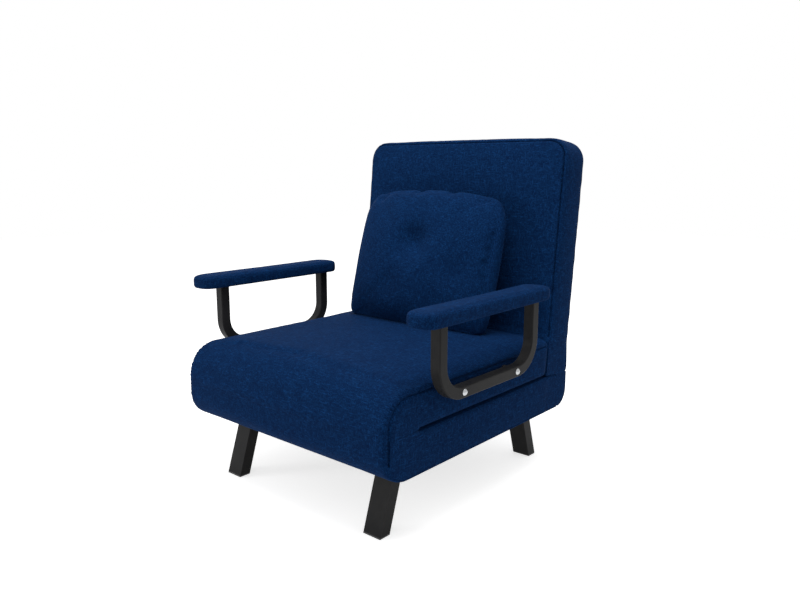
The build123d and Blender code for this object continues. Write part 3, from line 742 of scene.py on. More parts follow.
@dataclass(frozen=True)
class Seam:
    """A sewn line: the cover is drawn in along it, and gathers in short folds where it curves."""

    depth: float = 0.0048
    width: float = 0.0026
    reach: float = 0.009
    margin: float = 0.003
    line_step: float = 0.004
    largest_face: int = 8
    gather: float = 0.0
    gather_start: float = 0.005
    gather_fade: float = 0.006
    gather_reach: float = 0.018
    gather_pitch: float = 0.013

    def folds(self, away: np.ndarray, run: np.ndarray) -> np.ndarray:
        """Give the height of the gathered folds.

        Args:
            away: How far each place lies from the line.
            run: How far along the line it lies.

        Returns:
            How far each place stands out.
        """
        # Slow waves in the phase and in the height keep the folds from looking counted out
        phase = run / self.gather_pitch * 2 * np.pi
        fold = np.sin(phase + 1.7 * np.sin(phase * 0.23))
        uneven = 0.6 + 0.4 * np.sin(phase * 0.37 + 1.0)
        near = fade(away, 0.0, self.gather_start)
        far = fade(away, self.gather_fade, self.gather_reach)
        return self.gather * (fold * uneven) * (near * (1 - far))

    def sew(self, piece: bpy.types.Object, lines: Sequence[Line]) -> None:
        """Divide the mesh along the lines and draw it in there.

        Args:
            piece: The cover.
            lines: The sewn lines, on or near its surface.
        """
        lines = [on_surface(piece, dense(line, self.line_step)) for line in lines]
        reach = self.gather_reach if self.gather else self.reach
        near = nearest(points(piece), lines)[0] < reach + self.margin
        divided = [
            len(face.vertices) <= self.largest_face and all(near[v] for v in face.vertices)
            for face in piece.data.polygons
        ]
        with selected(piece, "FACE", divided):
            bpy.ops.mesh.subdivide(number_cuts=2)
        places, out = points(piece), normals(piece)
        away, run = nearest(places, lines)
        shift = -self.depth * np.exp(-((away / self.width) ** 2))
        if self.gather:
            shift += self.folds(away, run)
        move(piece, places + out * shift[:, None])


def piping(name: str, line: Line, radius: float) -> bpy.types.Object:
    """Make a round cord of fabric along a line.

    Args:
        name: The object's name.
        line: The cord's middle, as rows x, y, z.
        radius: The cord's radius.

    Returns:
        The cord as a closed mesh.
    """
    deselect()
    bpy.ops.curve.primitive_nurbs_path_add()
    path = bpy.context.object
    path.name = name
    path.location = (0, 0, 0)
    spline = path.data.splines[0]
    spline.points.add(len(line) - len(spline.points))
    for point, place in zip(spline.points, line):
        point.co = (*place, 1.0)
    spline.order_u = 3
    spline.use_endpoint_u = True
    spline.resolution_u = 2
    path.data.bevel_depth = radius
    path.data.bevel_resolution = 2
    path.data.use_fill_caps = True
    bpy.ops.object.convert(target="MESH")
    return bpy.context.object


def coat(piece: bpy.types.Object, material: bpy.types.Material) -> None:
    """Give a piece this one material."""
    piece.data.materials.clear()
    piece.data.materials.append(material)


def upholster(
    piece: bpy.types.Object, fabric: bpy.types.Material, fill: float, *nodes: str
) -> None:
    """Shade and dress a finished cover, and hide the plain solids that it replaces.

    Args:
        piece: The cover.
        fabric: Its material.
        fill: How much of it is stuffing. Not used.
        *nodes: The plain solids that it replaces.
    """
    choose(piece)
    bpy.ops.object.shade_smooth_by_angle(angle=math.radians(60))
    coat(piece, fabric)
    if nodes:
        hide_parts(*nodes)
    LOG.info("%s has %d faces", piece.name, len(piece.data.polygons))


# The chair's sub-assemblies


@dataclass(frozen=True)
class Fullness:
    """How far the foam may push each part of the body's cover out."""

    backrest: float = 0.0085
    seat: float = 0.0075
    rear: float = 0.005
    base: float = 0.0035
    side: float = 0.0022


@dataclass
class Upholstery:
    """The padded body and backrest: one swollen form, parted into the covers that move apart.

    What is behind or above the recline axis is measured along the leaning back.
    """

    # The body
    half_width: float = 0.3260
    nose_y: float = -0.3810
    rear_y: float = 0.3300
    bottom_z: float = 0.1460
    top_z: float = 0.3315
    upper_nose: float = 0.074
    lower_nose: float = 0.060
    rear_corner: float = 0.040
    edge: float = 0.008
    low_edge: float = 0.003
    crown: float = 0.013
    crown_at_back: float = 0.35
    crown_fade: tuple[float, float] = (-0.12, -0.02)
    # The backrest and its recline axis
    axis_y: float = 0.253053
    axis_z: float = 0.203
    lean: float = math.radians(5.9)
    back_root: float = -0.02
    back_front: float = -0.0335
    back_rear: float = 0.0655
    back_foot: float = 0.0365
    back_top: float = 0.6265
    back_corner: float = 0.050
    # Where the covers part: the fold at the nose, the slit, the crease and the lower rear corner
    fold_y: float = -0.366
    fold_z: float = 0.243
    fold_gap: float = 0.0003
    fold_bend: float = 0.028
    wall_x: float = 0.05
    slit_front_y: float = -0.282
    slit_ease: float = 0.003
    slit_half: float = 0.0040
    slit_reach: tuple[float, float] = (0.001, 0.022)
    slit_roll: float = 0.0030
    roll_reach: float = 0.009
    side_x: float = 0.3
    crease_top_z: float = 0.385
    crease_room: float = 0.002
    back_gap: float = 0.0018
    seat_gap: float = 0.0048
    seat_rear_drop: float = 0.004
    seat_rear_tuck: float = 0.003
    seat_rear_reach: float = 0.012
    seat_rear_low_z: float = 0.263
    base_rear_y: float = 0.2885
    base_shoulder: float = 0.5055
    corner_bend: float = 0.005
    corner_inset: float = 0.0005
    cloth_room: float = 0.003
    cloth_lift: float = 0.006
    # The seams and welts
    line_step: float = 0.010
    seam_in: float = 0.012
    seam_start_y: float = 0.2165
    seam_end_z: float = 0.2326
    gather_end_y: float = -0.27
    plain_start_y: float = -0.28
    welt_in: float = 0.005
    low_welt_in: float = 0.001
    low_welt_y: float = -0.364
    low_welt_z: float = 0.2
    rear_welt_z: float = 0.235
    welt_overlap: float = 0.008
    welt_radius: float = 0.0026
    nose_seam: Seam = Seam(gather=0.0015)
    edge_seam: Seam = Seam()
    front_seam: Seam = Seam(depth=0.0065, width=0.0027)
    front_seam_z: float = 0.3375
    rear_seam: Seam = Seam(depth=0.0020, width=0.0045)
    # The foam and the mesh
    fill: float = 0.9
    stuffing: Stuffing = Stuffing(slack=0.003)
    fullness: Fullness = Fullness()
    hold: float = 0.006
    hold_bottom: float = 0.003
    hold_crease: float = 0.014
    hold_crease_z: float = 0.40
    hold_foot: tuple[float, float] = (-0.03, 0.09)
    side_fade: tuple[float, float] = (-0.016, -0.006)
    backrest_from: float = 0.19
    rear_from: float = 0.1
    coarse: float = 0.007
    fine: float = 0.005
    round_faces: int = 12
    corner_faces: int = 10
    edge_faces: int = 4
    low_faces: int = 2

    def lay(self, x: float, behind: float, above: float) -> tuple[float, float, float]:
        """Place a point by its distance behind and above the recline axis."""
        s, c = math.sin(self.lean), math.cos(self.lean)
        return x, self.axis_y + behind * c + above * s, self.axis_z - behind * s + above * c

    def along_back(self, places: np.ndarray) -> tuple[np.ndarray, np.ndarray]:
        """Measure how far places lie behind and above the recline axis.

        Args:
            places: Rows x, y, z.

        Returns:
            The two distances of each place.
        """
        s, c = math.sin(self.lean), math.cos(self.lean)
        y, z = places[:, 1] - self.axis_y, places[:, 2] - self.axis_z
        return y * c - z * s, y * s + z * c

    def up(self) -> Vector:
        """Give the direction up along the leaning back."""
        return Vector((0, math.sin(self.lean), math.cos(self.lean)))

    def rearward(self) -> Vector:
        """Give the direction straight out of the backrest's rear face."""
        return Vector((0, math.cos(self.lean), -math.sin(self.lean)))

    def body_block(self) -> bpy.types.Object:
        """Model both seat layers as one block with a round nose and a round lower rear corner.

        Returns:
            The block.
        """
        w, low, top = self.half_width, self.bottom_z, self.top_z
        body = block("body", (-w, self.nose_y, low), (w, self.rear_y, top))
        for y, z, radius in (
            (self.nose_y, top, self.upper_nose),
            (self.nose_y, low, self.lower_nose),
            (self.rear_y, low, self.rear_corner),
        ):
            bevel(
                body, lambda v: abs(v.y - y) < TOUCH and abs(v.z - z) < TOUCH, radius,
                self.round_faces,
            )
        over = low + 10 * TOUCH
        bevel(
            body, lambda v: abs(abs(v.x) - w) < TOUCH and v.z > over, self.edge, self.edge_faces
        )
        bevel(
            body, lambda v: abs(abs(v.x) - w) < TOUCH and v.z < over, self.low_edge, self.low_faces
        )
        return body

    def back_block(self) -> bpy.types.Object:
        """Model the backrest as a slab with two round top corners, leaning on its axis.

        Returns:
            The slab.
        """
        w, front, rear, top = self.half_width, self.back_front, self.back_rear, self.back_top
        back = block("back", (-w, front, self.back_root), (w, rear, top))
        bevel(
            back, lambda v: abs(abs(v.x) - w) < TOUCH and abs(v.z - top) < TOUCH,
            self.back_corner, self.corner_faces,
        )
        for face in (front, rear):
            bevel(back, lambda v: abs(v.y - face) < TOUCH, self.edge, self.edge_faces)
        to_axis = Matrix.Translation((0, self.axis_y, self.axis_z))
        back.data.transform(to_axis @ Matrix.Rotation(-self.lean, 4, "X"))
        return back

    def side_line(self, side: int, inset: float) -> Line:
        """Draw the seam on a side: the seat's edge, round the nose, the bottom and up the rear.

        Args:
            side: The side, as the sign of X.
            inset: How far the seam lies in from the side's outline.

        Returns:
            The line.
        """
        low, top = self.bottom_z, self.top_z
        upper, lower, rear = self.upper_nose, self.lower_nose, self.rear_corner
        places = [(self.seam_start_y, top - inset)]
        places += arc((self.nose_y + upper, top - upper), upper - inset, 90)
        places += arc((self.nose_y + lower, low + lower), lower - inset, 180)
        places += arc((self.rear_y - rear, low + rear), rear - inset, 270)
        places.append((self.rear_y - inset, self.seam_end_z))
        return dense(np.array([(side * self.half_width, y, z) for y, z in places]), self.line_step)

    def back_line(self, behind: float, inset: float) -> Line:
        """Draw the seam round one face of the backrest, from foot to foot.

        Args:
            behind: How far the face lies behind the recline axis.
            inset: How far the seam lies in from the face's outline.

        Returns:
            The line.
        """
        w, top, radius = self.half_width - inset, self.back_top - inset, self.back_corner - inset
        places = [(w, self.back_foot)]
        places += arc((w - radius, top - radius), radius, 0)
        places += arc((radius - w, top - radius), radius, 90)
        places.append((-w, self.back_foot))
        return dense(np.array([self.lay(x, behind, above) for x, above in places]), self.line_step)

    def form(self) -> bpy.types.Object:
        """Join body and backrest, crown the seat and let the foam push the cover out.

        Returns:
            The whole form.
        """
        whole = join(self.body_block(), self.back_block())
        remesh(whole, self.coarse)
        places = points(whole)
        x, _, z = places.T
        behind = self.along_back(places)[0] - self.back_front
        seat = (behind < -self.crease_room) & (z > self.fold_z)
        across = 1 - (x / self.half_width) ** 2
        lift = self.crown * across * (z - self.fold_z) / (self.top_z - self.fold_z)
        share = 1 - (1 - self.crown_at_back) * fade(behind, *self.crown_fade)
        places[:, 2] += np.where(seat, lift * share, 0)
        move(whole, places)
        self.swell(whole)
        remesh(whole, self.fine)
        return whole

    def swell(self, whole: bpy.types.Object) -> None:
        """Hold the form at its seams, crease and underside, and swell the rest.

        Args:
            whole: The whole form.
        """
        places = points(whole)
        x, _, z = places.T
        behind, above = self.along_back(places)
        lines = [self.side_line(side, self.seam_in) for side in SIDES]
        lines += [self.back_line(face, self.welt_in) for face in (self.back_front, self.back_rear)]
        sewn = nearest(places, lines)[0] < self.hold
        crease = np.abs(behind - self.back_front) < self.hold_crease
        sewn |= crease & (z < self.hold_crease_z) & (z > self.fold_z)
        sewn |= z < self.bottom_z + self.hold_bottom
        sewn |= (behind > self.hold_foot[0]) & (above < self.hold_foot[1])
        full = self.fullness
        cap = np.where(above > self.backrest_from, full.backrest, full.seat)
        cap = np.where((behind > 0) & (above > self.rear_from), full.rear, cap)
        cap = np.where((z < self.fold_z) & (above < self.rear_from), full.base, cap)
        on_side = fade(np.abs(x) - self.half_width, *self.side_fade)
        self.stuffing.swell(whole, sewn, cap * (1 - on_side) + full.side * on_side)

    def tuck(self, places: np.ndarray, depth: np.ndarray) -> None:
        """Draw the side faces in, each place by its own depth."""
        x = places[:, 0]
        places[:, 0] -= np.where(np.abs(x) > self.side_x, np.sign(x) * depth, 0)

    def open_slit(self, piece: bpy.types.Object, sign: int) -> None:
        """Draw the two layers apart behind the nose, where the hand goes in to lift the seat.

        Args:
            piece: The cover of one layer.
            sign: 1 for the upper layer, -1 for the lower one.
        """
        places = points(piece)
        gap = fade(places[:, 1] - self.slit_front_y, -self.slit_ease, self.slit_ease)
        height = (places[:, 2] - self.fold_z) * sign
        places[:, 2] += sign * self.slit_half * gap * (1 - fade(height, *self.slit_reach))
        self.tuck(places, self.slit_roll * gap * np.clip(1 - height / self.roll_reach, 0, 1) ** 2)
        move(piece, places)

    def part_seat(self, whole: bpy.types.Object) -> bpy.types.Object:
        """Cut out the upper layer, with the nose cover that runs on over the fold to the base.

        Args:
            whole: The whole form.

        Returns:
            The seat's cover.
        """
        upper, nose = copy_of(whole, "seat_cover"), copy_of(whole, "nose")
        fold, seat_rear = (0, 0, self.fold_z + self.fold_gap), self.back_front - self.seat_gap
        cut(upper, fold, (0, 0, -1))
        cut(upper, self.lay(0, seat_rear, 0), self.rearward())
        with selected(upper, "VERT", points(upper)[:, 2] > self.crease_top_z):
            bpy.ops.mesh.delete(type="VERT")
        cut(upper, (0, self.fold_y, 0), (0, -1, 0))
        cut(nose, fold, (0, 0, -1), keep=True)
        cut(nose, (0, self.fold_y, 0), (0, 1, 0))
        seat = join(upper, nose)
        # The two walls where upper layer and nose were parted come out, so that they are one cover
        middles = [face.center for face in seat.data.polygons]
        walls = [abs(c.y - self.fold_y) < TOUCH and abs(c.x) < self.wall_x for c in middles]
        with selected(seat, "FACE", walls):
            bpy.ops.mesh.delete(type="FACE")
        close(seat)
        self.open_slit(seat, 1)
        places = points(seat)
        behind, _ = self.along_back(places)
        near = np.clip(1 - (seat_rear - behind) / self.seat_rear_reach, 0, 1) ** 2
        near = np.where(behind < self.back_front, near, 0)
        high = fade(places[:, 2], self.seat_rear_low_z, self.top_z)
        places[:, 2] -= self.seat_rear_drop * near * high
        self.tuck(places, self.seat_rear_tuck * near)
        move(seat, places)
        return seat

    def part_base(self, whole: bpy.types.Object) -> bpy.types.Object:
        """Cut out the lower layer, sloped off at the recline axis and hollow over the dust cover.

        Args:
            whole: The whole form.

        Returns:
            The base's cover.
        """
        base = copy_of(whole, "base_cover")
        cut(base, (0, 0, self.fold_z - self.fold_gap), (0, 0, 1))
        cut(base, (0, self.fold_y, 0), (0, -1, 0))
        cut(base, (0, self.base_rear_y, 0), (0, 1, 0))
        cut(base, (0, self.base_shoulder / 2, self.base_shoulder / 2), (0, 1, 1))
        self.open_slit(base, -1)
        low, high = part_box("base_dust_cover")
        room, places = self.cloth_room, points(base)
        x, y, z = places.T
        inside = (np.abs(x) < high[0] + room) & (y > low[1] - room) & (y < high[1] + room)
        inside &= z < self.bottom_z + self.cloth_lift
        places[inside, 2] += self.cloth_lift
        move(base, places)
        return base

    def part_back(self, whole: bpy.types.Object) -> bpy.types.Object:
        """Cut out the backrest above its foot and behind the seat.

        Args:
            whole: The whole form.

        Returns:
            The backrest's cover.
        """
        back = copy_of(whole, "back_cover")
        cut(back, self.lay(0, 0, self.back_foot), -self.up())
        through = self.lay(0, self.back_front - self.back_gap, 0)
        low = [face.center.z < self.crease_top_z for face in back.data.polygons]
        with selected(back, "FACE", low):
            bpy.ops.mesh.bisect(plane_co=through, plane_no=-self.rearward(), clear_outer=True)
        close(back)
        return back

    def part_corner(self, whole: bpy.types.Object) -> bpy.types.Object:
        """Cut out the soft corner that bends between base and backrest.

        Args:
            whole: The whole form.

        Returns:
            The corner's cover.
        """
        corner, wedge = copy_of(whole, "rear_corner_cover"), copy_of(whole, "wedge")
        for piece in (corner, wedge):
            cut(piece, self.lay(0, 0, self.back_foot), self.up())
        cut(corner, (0, self.base_rear_y, 0), (0, -1, 0))
        cut(wedge, (0, self.base_rear_y, 0), (0, 1, 0))
        cut(wedge, (0, self.base_shoulder / 2, self.base_shoulder / 2), (0, -1, -1))
        corner = join(corner, wedge)
        places = points(corner)
        places[:, 0] *= 1 - self.corner_inset / self.half_width
        move(corner, places)
        return corner

    def sew(
        self, seat: bpy.types.Object, base: bpy.types.Object, back: bpy.types.Object,
        corner: bpy.types.Object,
    ) -> None:
        """Draw the seams in and lay the welts.

        Args:
            seat: The upper layer's cover.
            base: The lower layer's cover.
            back: The backrest's cover.
            corner: The lower rear corner's cover.
        """
        sides = [self.side_line(side, self.seam_in) for side in SIDES]
        upper = [line[(line[:, 2] > self.fold_z) | (line[:, 1] < self.fold_y)] for line in sides]
        self.nose_seam.sew(seat, [line[line[:, 1] < self.gather_end_y] for line in upper])
        self.edge_seam.sew(seat, [line[line[:, 1] > self.plain_start_y] for line in upper])
        for side in SIDES:
            line = self.side_line(side, self.low_welt_in)
            y, z = line[:, 1], line[:, 2]
            low = (z < self.low_welt_z) & (y > self.low_welt_y) & (y < self.base_rear_y)
            rear = (z < self.rear_welt_z) & (y > self.base_rear_y - self.welt_overlap)
            for piece, run in ((base, line[low]), (corner, line[rear])):
                join(piece, piping("welt", on_surface(piece, run), self.welt_radius))
        front = self.back_line(self.back_front, self.welt_in)
        self.front_seam.sew(back, [front[front[:, 2] > self.front_seam_z]])
        ring = on_surface(back, self.back_line(self.back_rear, self.welt_in))
        self.rear_seam.sew(back, [ring])
        join(back, piping("welt", ring, self.welt_radius))

    def build(self, fabric: bpy.types.Material) -> None:
        """Model the covers, sew them and dress them, and hang the base's and backrest's covers on
        their bodies.

        Args:
            fabric: The covers' material.
        """
        whole = self.form()
        seat, base = self.part_seat(whole), self.part_base(whole)
        back, corner = self.part_back(whole), self.part_corner(whole)
        bpy.data.objects.remove(whole)
        self.sew(seat, base, back, corner)
        for piece, nodes in (
            (seat, ("seat_top_cushion", "seat_under_cushion", "front_pad")),
            (base, ("base_cushion",)),
            (back, ("back_front_cushion", "back_rear_cushion")),
            (corner, ("rear_corner_pad",)),
        ):
            upholster(piece, fabric, self.fill, *nodes)
        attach(base, Body.BASE.value)
        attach(back, Body.BACK.value)
        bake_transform(seat)
        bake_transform(corner)


@dataclass
class BedPanels:
    """The two faces that meet in the slit and lie uppermost when the chair is a bed."""

    half_width: float = 0.317
    front_y: float = -0.270
    seat_rear_y: float = 0.207
    deck_rear_y: float = 0.240
    seat_z: float = 0.2468
    deck_z: float = 0.2392
    depth: float = 0.010
    corner: float = 0.012
    edge: float = 0.003
    crown: float = 0.0016
    channels: int = 2
    seam_end: float = 0.004
    seam: Seam = Seam(depth=0.0022, width=0.003)
    voxel: float = 0.006
    face_room: float = 0.002
    fill: float = 0.9
    corner_faces: int = 4
    edge_faces: int = 2

    def panel(self, name: str, rear_y: float, face_z: float, sign: int) -> bpy.types.Object:
        """Model one thin padded face with sewn channels across it.

        Args:
            name: The piece's name.
            rear_y: Where it ends at the rear.
            face_z: The height of its open face.
            sign: 1 where the face looks up, -1 where it looks down.

        Returns:
            The panel.
        """
        w, front = self.half_width, self.front_y
        low, high = sorted((face_z, face_z - sign * self.depth))
        piece = block(name, (-w, front, low), (w, rear_y, high))
        bevel(piece, lambda v: abs(v.z - (low + high) / 2) < TOUCH, self.corner, self.corner_faces)
        bevel(piece, lambda v: abs(v.z - face_z) < TOUCH, self.edge, self.edge_faces)
        remesh(piece, self.voxel)
        places = points(piece)
        x, y, z = places.T
        across, along = x / w, 2 * (y - front) / (rear_y - front) - 1
        rise = sign * self.crown * ((1 - across**2) * (1 - along**2))
        places[:, 2] += np.where(np.abs(z - face_z) < self.face_room, rise, 0)
        move(piece, places)
        step, end = (rear_y - front) / (self.channels + 1), w - self.seam_end
        rows = [front + step * i for i in range(1, self.channels + 1)]
        self.seam.sew(piece, [np.array([(-end, y, face_z), (end, y, face_z)]) for y in rows])
        return piece

    def build(self, fabric: bpy.types.Material) -> None:
        """Model both faces, dress them and hang them on their layers.

        Args:
            fabric: The panels' material.
        """
        for name, rear_y, face_z, sign, body in (
            ("seat_underside_panel", self.seat_rear_y, self.seat_z, -1, Body.SEAT),
            ("bed_deck_panel", self.deck_rear_y, self.deck_z, 1, Body.BASE),
        ):
            piece = self.panel(name, rear_y, face_z, sign)
            upholster(piece, fabric, self.fill)
            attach(piece, body.value)


@dataclass
class ArmPads:
    """The two padded arm tops: slim foam over a board, round at the ends, flat below."""

    half_width: float = 0.0365
    middle_x: float = 0.3525
    front_y: float = -0.3250
    rear_y: float = 0.1305
    bottom_z: float = 0.4584
    top_z: float = 0.4885
    end_radius: float = 0.028
    top_radius: float = 0.008
    bottom_radius: float = 0.004
    full: float = 0.0022
    full_from: tuple[float, float] = (0.001, 0.012)
    least_full: float = 0.0004
    hold: float = 0.004
    voxel: float = 0.0045
    fill: float = 0.8
    end_faces: int = 6
    top_faces: int = 4
    bottom_faces: int = 2
    stuffing: Stuffing = Stuffing(slack=0.006)

    def model(self) -> bpy.types.Object:
        """Model the left pad and let its foam push the cover out.

        Returns:
            The pad.
        """
        x, w, low, top = self.middle_x, self.half_width, self.bottom_z, self.top_z
        front, rear = self.front_y, self.rear_y
        pad = block("arm_pad_cover_left", (x - w, front, low), (x + w, rear, top))
        for corner_y in (front, rear):
            for corner_x in (x - w, x + w):
                bevel(
                    pad, lambda v: abs(v.y - corner_y) < TOUCH and abs(v.x - corner_x) < TOUCH,
                    self.end_radius, self.end_faces,
                )
        bevel(pad, lambda v: v.z > top - TOUCH, self.top_radius, self.top_faces)
        bevel(pad, lambda v: v.z < low + TOUCH, self.bottom_radius, self.bottom_faces)
        remesh(pad, self.voxel)
        height = points(pad)[:, 2] - low
        cap = self.full * fade(height, *self.full_from) + self.least_full
        self.stuffing.swell(pad, height < self.hold, cap)
        apply(pad, "SUBSURF", levels=1, render_levels=1)
        return pad

    def build(self, fabric: bpy.types.Material) -> None:
        """Model one pad, copy it to the other arm, and dress both.

        Args:
            fabric: The pads' material.
        """
        pad = self.model()
        other = copy_of(pad, "arm_pad_cover_right")
        places = points(other)
        places[:, 0] -= 2 * self.middle_x
        move(other, places)
        for piece, side in ((pad, "left"), (other, "right")):
            upholster(piece, fabric, self.fill, f"arm_pad_{side}")
            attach(piece, Body.SEAT.value)


@dataclass
class Pillow:
    """The loose pillow: square at its foot, round at its top corners, gathered at a sewn tuft.

    Across and up are measured from the middle of its foot, in the plane that it leans in. Each
    tuft is given as its place across and up, its depth and its reach.
    """

    solid_foot: tuple[float, float, float] = (-0.014, 0.099, 0.3643)
    solid_lean: float = math.radians(20)
    solid_height: float = 0.358
    foot: tuple[float, float, float] = (-0.022, 0.115, 0.345)
    lean: float = math.radians(16)
    half_width: float = 0.236
    low: float = -0.006
    high: float = 0.361
    top_power: float = 5.2
    foot_power: float = 11.0
    rim_count: int = 120
    tufts: tuple[tuple[float, float, float, float], ...] = (
        (0.005, 0.217, 0.014, 0.040),
        (0.150, 0.150, 0.006, 0.040),
        (-0.052, 0.095, 0.005, 0.034),
        (-0.030, 0.360, 0.006, 0.014),
        (0.072, 0.360, 0.006, 0.014),
    )
    eased_reach: float = 0.095
    eased_rounds: int = 60
    sewn_reach: float = 0.008
    weld: float = 0.0001
    voxel: float = 0.005
    voxel_rounds: int = 3
    fill: float = 0.7
    full: float = 0.010
    full_at_foot: float = 0.25
    full_from: float = 0.05
    full_behind: float = 0.5
    stuffing: Stuffing = Stuffing(slack=0.03)

    @staticmethod
    def axes(lean: float) -> tuple[np.ndarray, np.ndarray]:
        """Give the directions up the pillow and out of its face, at an angle from upright."""
        s, c = math.sin(lean), math.cos(lean)
        return np.array((0, s, c)), np.array((0, -c, s))

    def spread(self, cover: bpy.types.Object) -> tuple[np.ndarray, np.ndarray, np.ndarray]:
        """Measure where each of the cover's vertices lies.

        Args:
            cover: The pillow's cover, reshaped.

        Returns:
            How far the vertices lie across, up and out of the pillow's middle plane.
        """
        up, face = self.axes(self.lean)
        local = points(cover) - np.array(self.foot)
        return local[:, 0], local @ up, local @ face

    def reshape(self, cover: bpy.types.Object) -> None:
        """Carry the solid's outline out to the stuffed pillow's, at the lean it rests at.

        Args:
            cover: A copy of the pillow's solid.
        """
        up, face = self.axes(self.solid_lean)
        local = points(cover) - np.array(self.solid_foot)
        across, forward = local[:, 0], local @ face
        level = local @ up - self.solid_height / 2
        angle, reach = np.arctan2(level, across), np.hypot(across, level)
        # The solid's rim is how far it reaches in each direction from its middle
        count, turn = self.rim_count, 2 * math.pi
        rim = np.zeros(count)
        np.maximum.at(rim, np.round((angle + math.pi) / turn * count).astype(int) % count, reach)
        rim = (np.roll(rim, 1) + 2 * rim + np.roll(rim, -1)) / 4
        old = np.interp(angle, np.arange(count) * turn / count - math.pi, rim, period=turn)
        # The new rim is a rounded square, with squarer corners at the foot than at the top
        power = np.where(level > 0, self.top_power, self.foot_power)
        wide = np.abs(np.cos(angle)) / self.half_width
        tall = np.abs(np.sin(angle)) * 2 / (self.high - self.low)
        grow = (wide**power + tall**power) ** (-1 / power) / old
        up, face = self.axes(self.lean)
        height = level * grow + (self.high + self.low) / 2
        places = np.array(self.foot) + up * height[:, None] + face * forward[:, None]
        places[:, 0] += across * grow
        move(cover, places)

    def ease(self, cover: bpy.types.Object) -> None:
        """Smooth the solid's own dimple away, so that the tuft can be drawn in anew.

        Args:
            cover: The pillow's cover, reshaped.
        """
        across, height, forward = self.spread(cover)
        x, z, *_ = self.tufts[0]
        near = (np.hypot(across - x, height - z) < self.eased_reach) & (forward > 0)
        group = cover.vertex_groups.new(name="eased")
        group.add(np.flatnonzero(near).tolist(), 1.0, "REPLACE")
        apply(
            cover, "SMOOTH", factor=0.5, iterations=self.eased_rounds, vertex_group=group.name
        )
        cover.vertex_groups.clear()

    def stuff(self, cover: bpy.types.Object) -> None:
        """Swell the cover and draw its tufts in.

        Args:
            cover: The pillow's cover, eased.
        """
        across, height, forward = self.spread(cover)
        x, z, *_ = self.tufts[0]
        sewn = (np.hypot(across - x, height - z) < self.sewn_reach) & (forward > 0)
        share = self.full_at_foot + (1 - self.full_at_foot) * fade(height, 0.0, self.full_from)
        cap = self.full * share * np.where(forward < 0, self.full_behind, 1.0)
        self.stuffing.swell(cover, sewn, cap)
        places, out = points(cover), normals(cover)
        for x, z, depth, reach in self.tufts:
            near = np.hypot(across - x, height - z) / reach
            places -= out * (depth * np.exp(-(near**2)) * (forward > 0))[:, None]
        move(cover, places)
        apply(cover, "SUBSURF", levels=1, render_levels=1)

    def build(self, fabric: bpy.types.Material) -> None:
        """Reshape and stuff a copy of the pillow's solid, and dress it.

        Args:
            fabric: The pillow's material.
        """
        cover = copy_of(frame["nodes"]["pillow"], "pillow_cover")
        cover.parent = None
        for key in list(cover.keys()):
            del cover[key]
        weld(cover, self.weld)
        remesh(cover, self.voxel, self.voxel_rounds)
        self.reshape(cover)
        self.ease(cover)
        self.stuff(cover)
        upholster(cover, fabric, self.fill, "pillow")
        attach(cover, Body.PILLOW.value)


@dataclass
class FrameFinishes:
    """The finishes of the solids that stay as they are: steel, fasteners, boards and caps."""

    finishes: dict[Slot, Coating | Ply] = field(default_factory=lambda: {
        # A charcoal tube with a soft, broad highlight and no mirror image
        Slot.BLACK_STEEL: Coating(
            "satin_black_powder_coat", "#242425", "#2C2C2C", 0.40, specular=0.05,
        ),
        # Dull even grey, as of a frame that the covers hide
        Slot.FRAME_STEEL: Coating("grey_primed_steel", "#4A4B4D", "#55565A", 0.55),
        # Pale bluish metal with a blurred glint
        Slot.ZINC: Coating(
            "zinc_plated_steel", "#A4A8AB", "#B8BCBE", 0.36,
            metallic=1.0, grain_mm=0.8, relief_mm=0.01,
        ),
        # Bright bolt heads that stand out as points of light on the black tube
        Slot.BRIGHT: Coating(
            "polished_steel", "#A9ABAD", "#B8BABC", 0.24,
            metallic=1.0, grain_mm=0.8, relief_mm=0.004,
        ),
        Slot.PLYWOOD: Ply(),
        # Feet a shade blacker and duller than the tube above them
        Slot.PLASTIC: Coating(
            "moulded_black_plastic", "#1C1C1D", "#242425", 0.52, grain_mm=1.0, relief_mm=0.04,
        ),
        # Flat black felt without any gloss
        Slot.DUST_CLOTH: Coating(
            "black_nonwoven_cloth", "#151517", "#202023", 0.9,
            grain_mm=2.4, relief_mm=0.25, specular=0.2,
        ),
    })

    def dress(self) -> None:
        """Give each solid that shows the finish of its slot."""
        made = {slot.value: finish.make() for slot, finish in self.finishes.items()}
        for part in frame["record"]["subparts"]:
            material = made.get(part["material_slot"])
            if material is not None:
                coat(frame["nodes"][part["node"]], material)
        LOG.info("%d finishes on the frame", len(made))


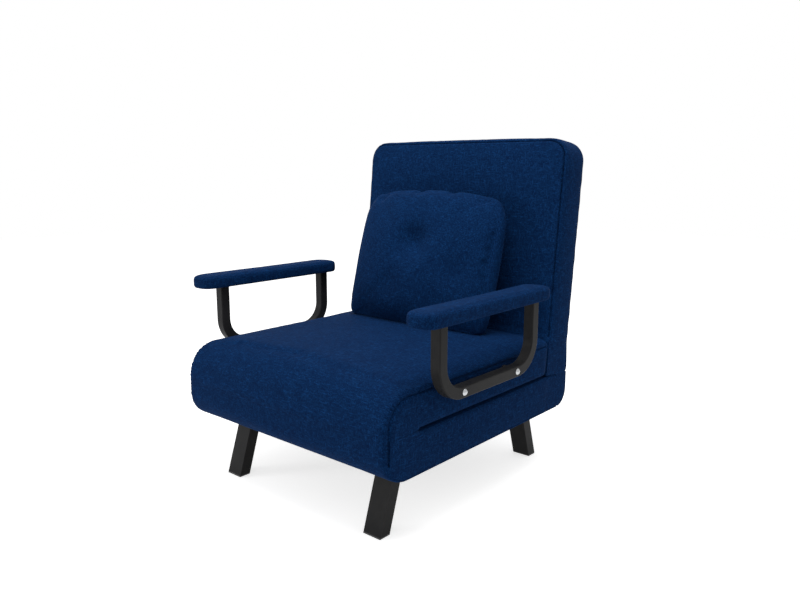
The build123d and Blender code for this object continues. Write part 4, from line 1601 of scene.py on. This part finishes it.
@dataclass
class Studio:
    """A pale floor on white, soft lamps and the camera at the photograph's place."""

    camera_at: tuple[float, float, float] = (1.1935, -1.3369, 0.7548)
    camera_turn: tuple[float, float, float] = (79.661, 0.0, 40.961)
    lens: float = 32.529
    sensor: float = 36.0
    ambient: float = 0.60
    floor_size: float = 14.0
    floor_drop: float = 0.0005
    floor_colour: str = "#F2F2F2"
    floor_glow: float = 0.68
    aim_at: tuple[float, float, float] = (0, 0, 0.4)
    lamps: tuple[tuple[str, tuple[float, float, float], float, float], ...] = (
        ("top_softbox", (0.3, -0.3, 2.6), 1.4, 44.0),
        ("front_softbox", (-2.0, -2.3, 0.9), 1.0, 20.0),
    )

    @staticmethod
    def seen(tree: bpy.types.NodeTree) -> bpy.types.NodeSocket:
        """Tell rays that show the backdrop itself from those that light the object by it.

        Args:
            tree: The node tree that gets the nodes.

        Returns:
            1 for a ray that shows the backdrop, and 0 for one that lights by it.
        """
        path = add(tree, "ShaderNodeLightPath").outputs
        shown = ("Is Camera Ray", "Is Glossy Ray", "Is Transmission Ray")
        return larger(tree, *(path[name] for name in shown))

    def hang_sky(self) -> None:
        """Make a world that is white to look at and lights the object more softly."""
        world = bpy.data.worlds.new("studio")
        bpy.context.scene.world = world
        world.use_nodes = True
        tree = world.node_tree
        tree.nodes.clear()
        strength = add(tree, "ShaderNodeMapRange", {
            "Value": self.seen(tree), "To Min": self.ambient, "To Max": 1.0,
        })
        sky = add(tree, "ShaderNodeBackground", {
            "Color": (1, 1, 1, 1), "Strength": strength.outputs["Result"],
        })
        add(tree, "ShaderNodeOutputWorld", {"Surface": sky.outputs["Background"]})

    def lay_floor(self) -> None:
        """Make a floor that is nearly white to look at and keeps the chair's shadow."""
        deselect()
        bpy.ops.mesh.primitive_plane_add(
            size=self.floor_size, location=(0, 0, -self.floor_drop)
        )
        floor = bpy.context.object
        floor.name = "floor"
        # A matt pale floor with a glow of its own, so that it runs into the white behind it
        material, tree = new_material("pale_studio_floor")
        pale = add(tree, "ShaderNodeBsdfDiffuse", {"Color": linear(self.floor_colour)})
        strength = add(tree, "ShaderNodeMath", {
            0: self.seen(tree), 1: self.floor_glow,
        }, operation="MULTIPLY")
        glow = add(tree, "ShaderNodeEmission", {
            "Color": (1, 1, 1, 1), "Strength": strength.outputs[0],
        })
        both = add(tree, "ShaderNodeAddShader", {0: pale.outputs[0], 1: glow.outputs[0]})
        add(tree, "ShaderNodeOutputMaterial", {"Surface": both.outputs[0]})
        floor.data.materials.append(material)

    def hang_lamps(self) -> None:
        """Hang the soft lamps and turn them to the chair."""
        for name, place, size, power in self.lamps:
            bpy.ops.object.light_add(type="AREA", location=place)
            lamp = bpy.context.object
            lamp.name = name
            lamp.data.size = size
            lamp.data.energy = power
            aim = Vector(self.aim_at) - Vector(place)
            lamp.rotation_euler = aim.to_track_quat("-Z", "Y").to_euler()

    def set_camera(self) -> None:
        """Stand the camera where the photograph was taken from."""
        bpy.ops.object.camera_add(location=self.camera_at)
        camera = bpy.context.object
        camera.rotation_euler = [math.radians(angle) for angle in self.camera_turn]
        camera.data.lens = self.lens
        camera.data.sensor_width = self.sensor
        bpy.context.scene.camera = camera

    def build(self) -> None:
        """Make the world, floor, lamps and camera."""
        bpy.context.scene.view_settings.view_transform = "Standard"
        self.hang_sky()
        self.lay_floor()
        self.hang_lamps()
        self.set_camera()


def main() -> None:
    """Build the chair's soft pieces, finish its frame and set the studio up."""
    logging.basicConfig(level=logging.INFO, format="%(message)s")
    fabric = WovenFabric().make()
    Upholstery().build(fabric)
    BedPanels().build(fabric)
    ArmPads().build(fabric)
    Pillow().build(fabric)
    FrameFinishes().dress()
    Studio().build()


if __name__ == "__main__":
    main()
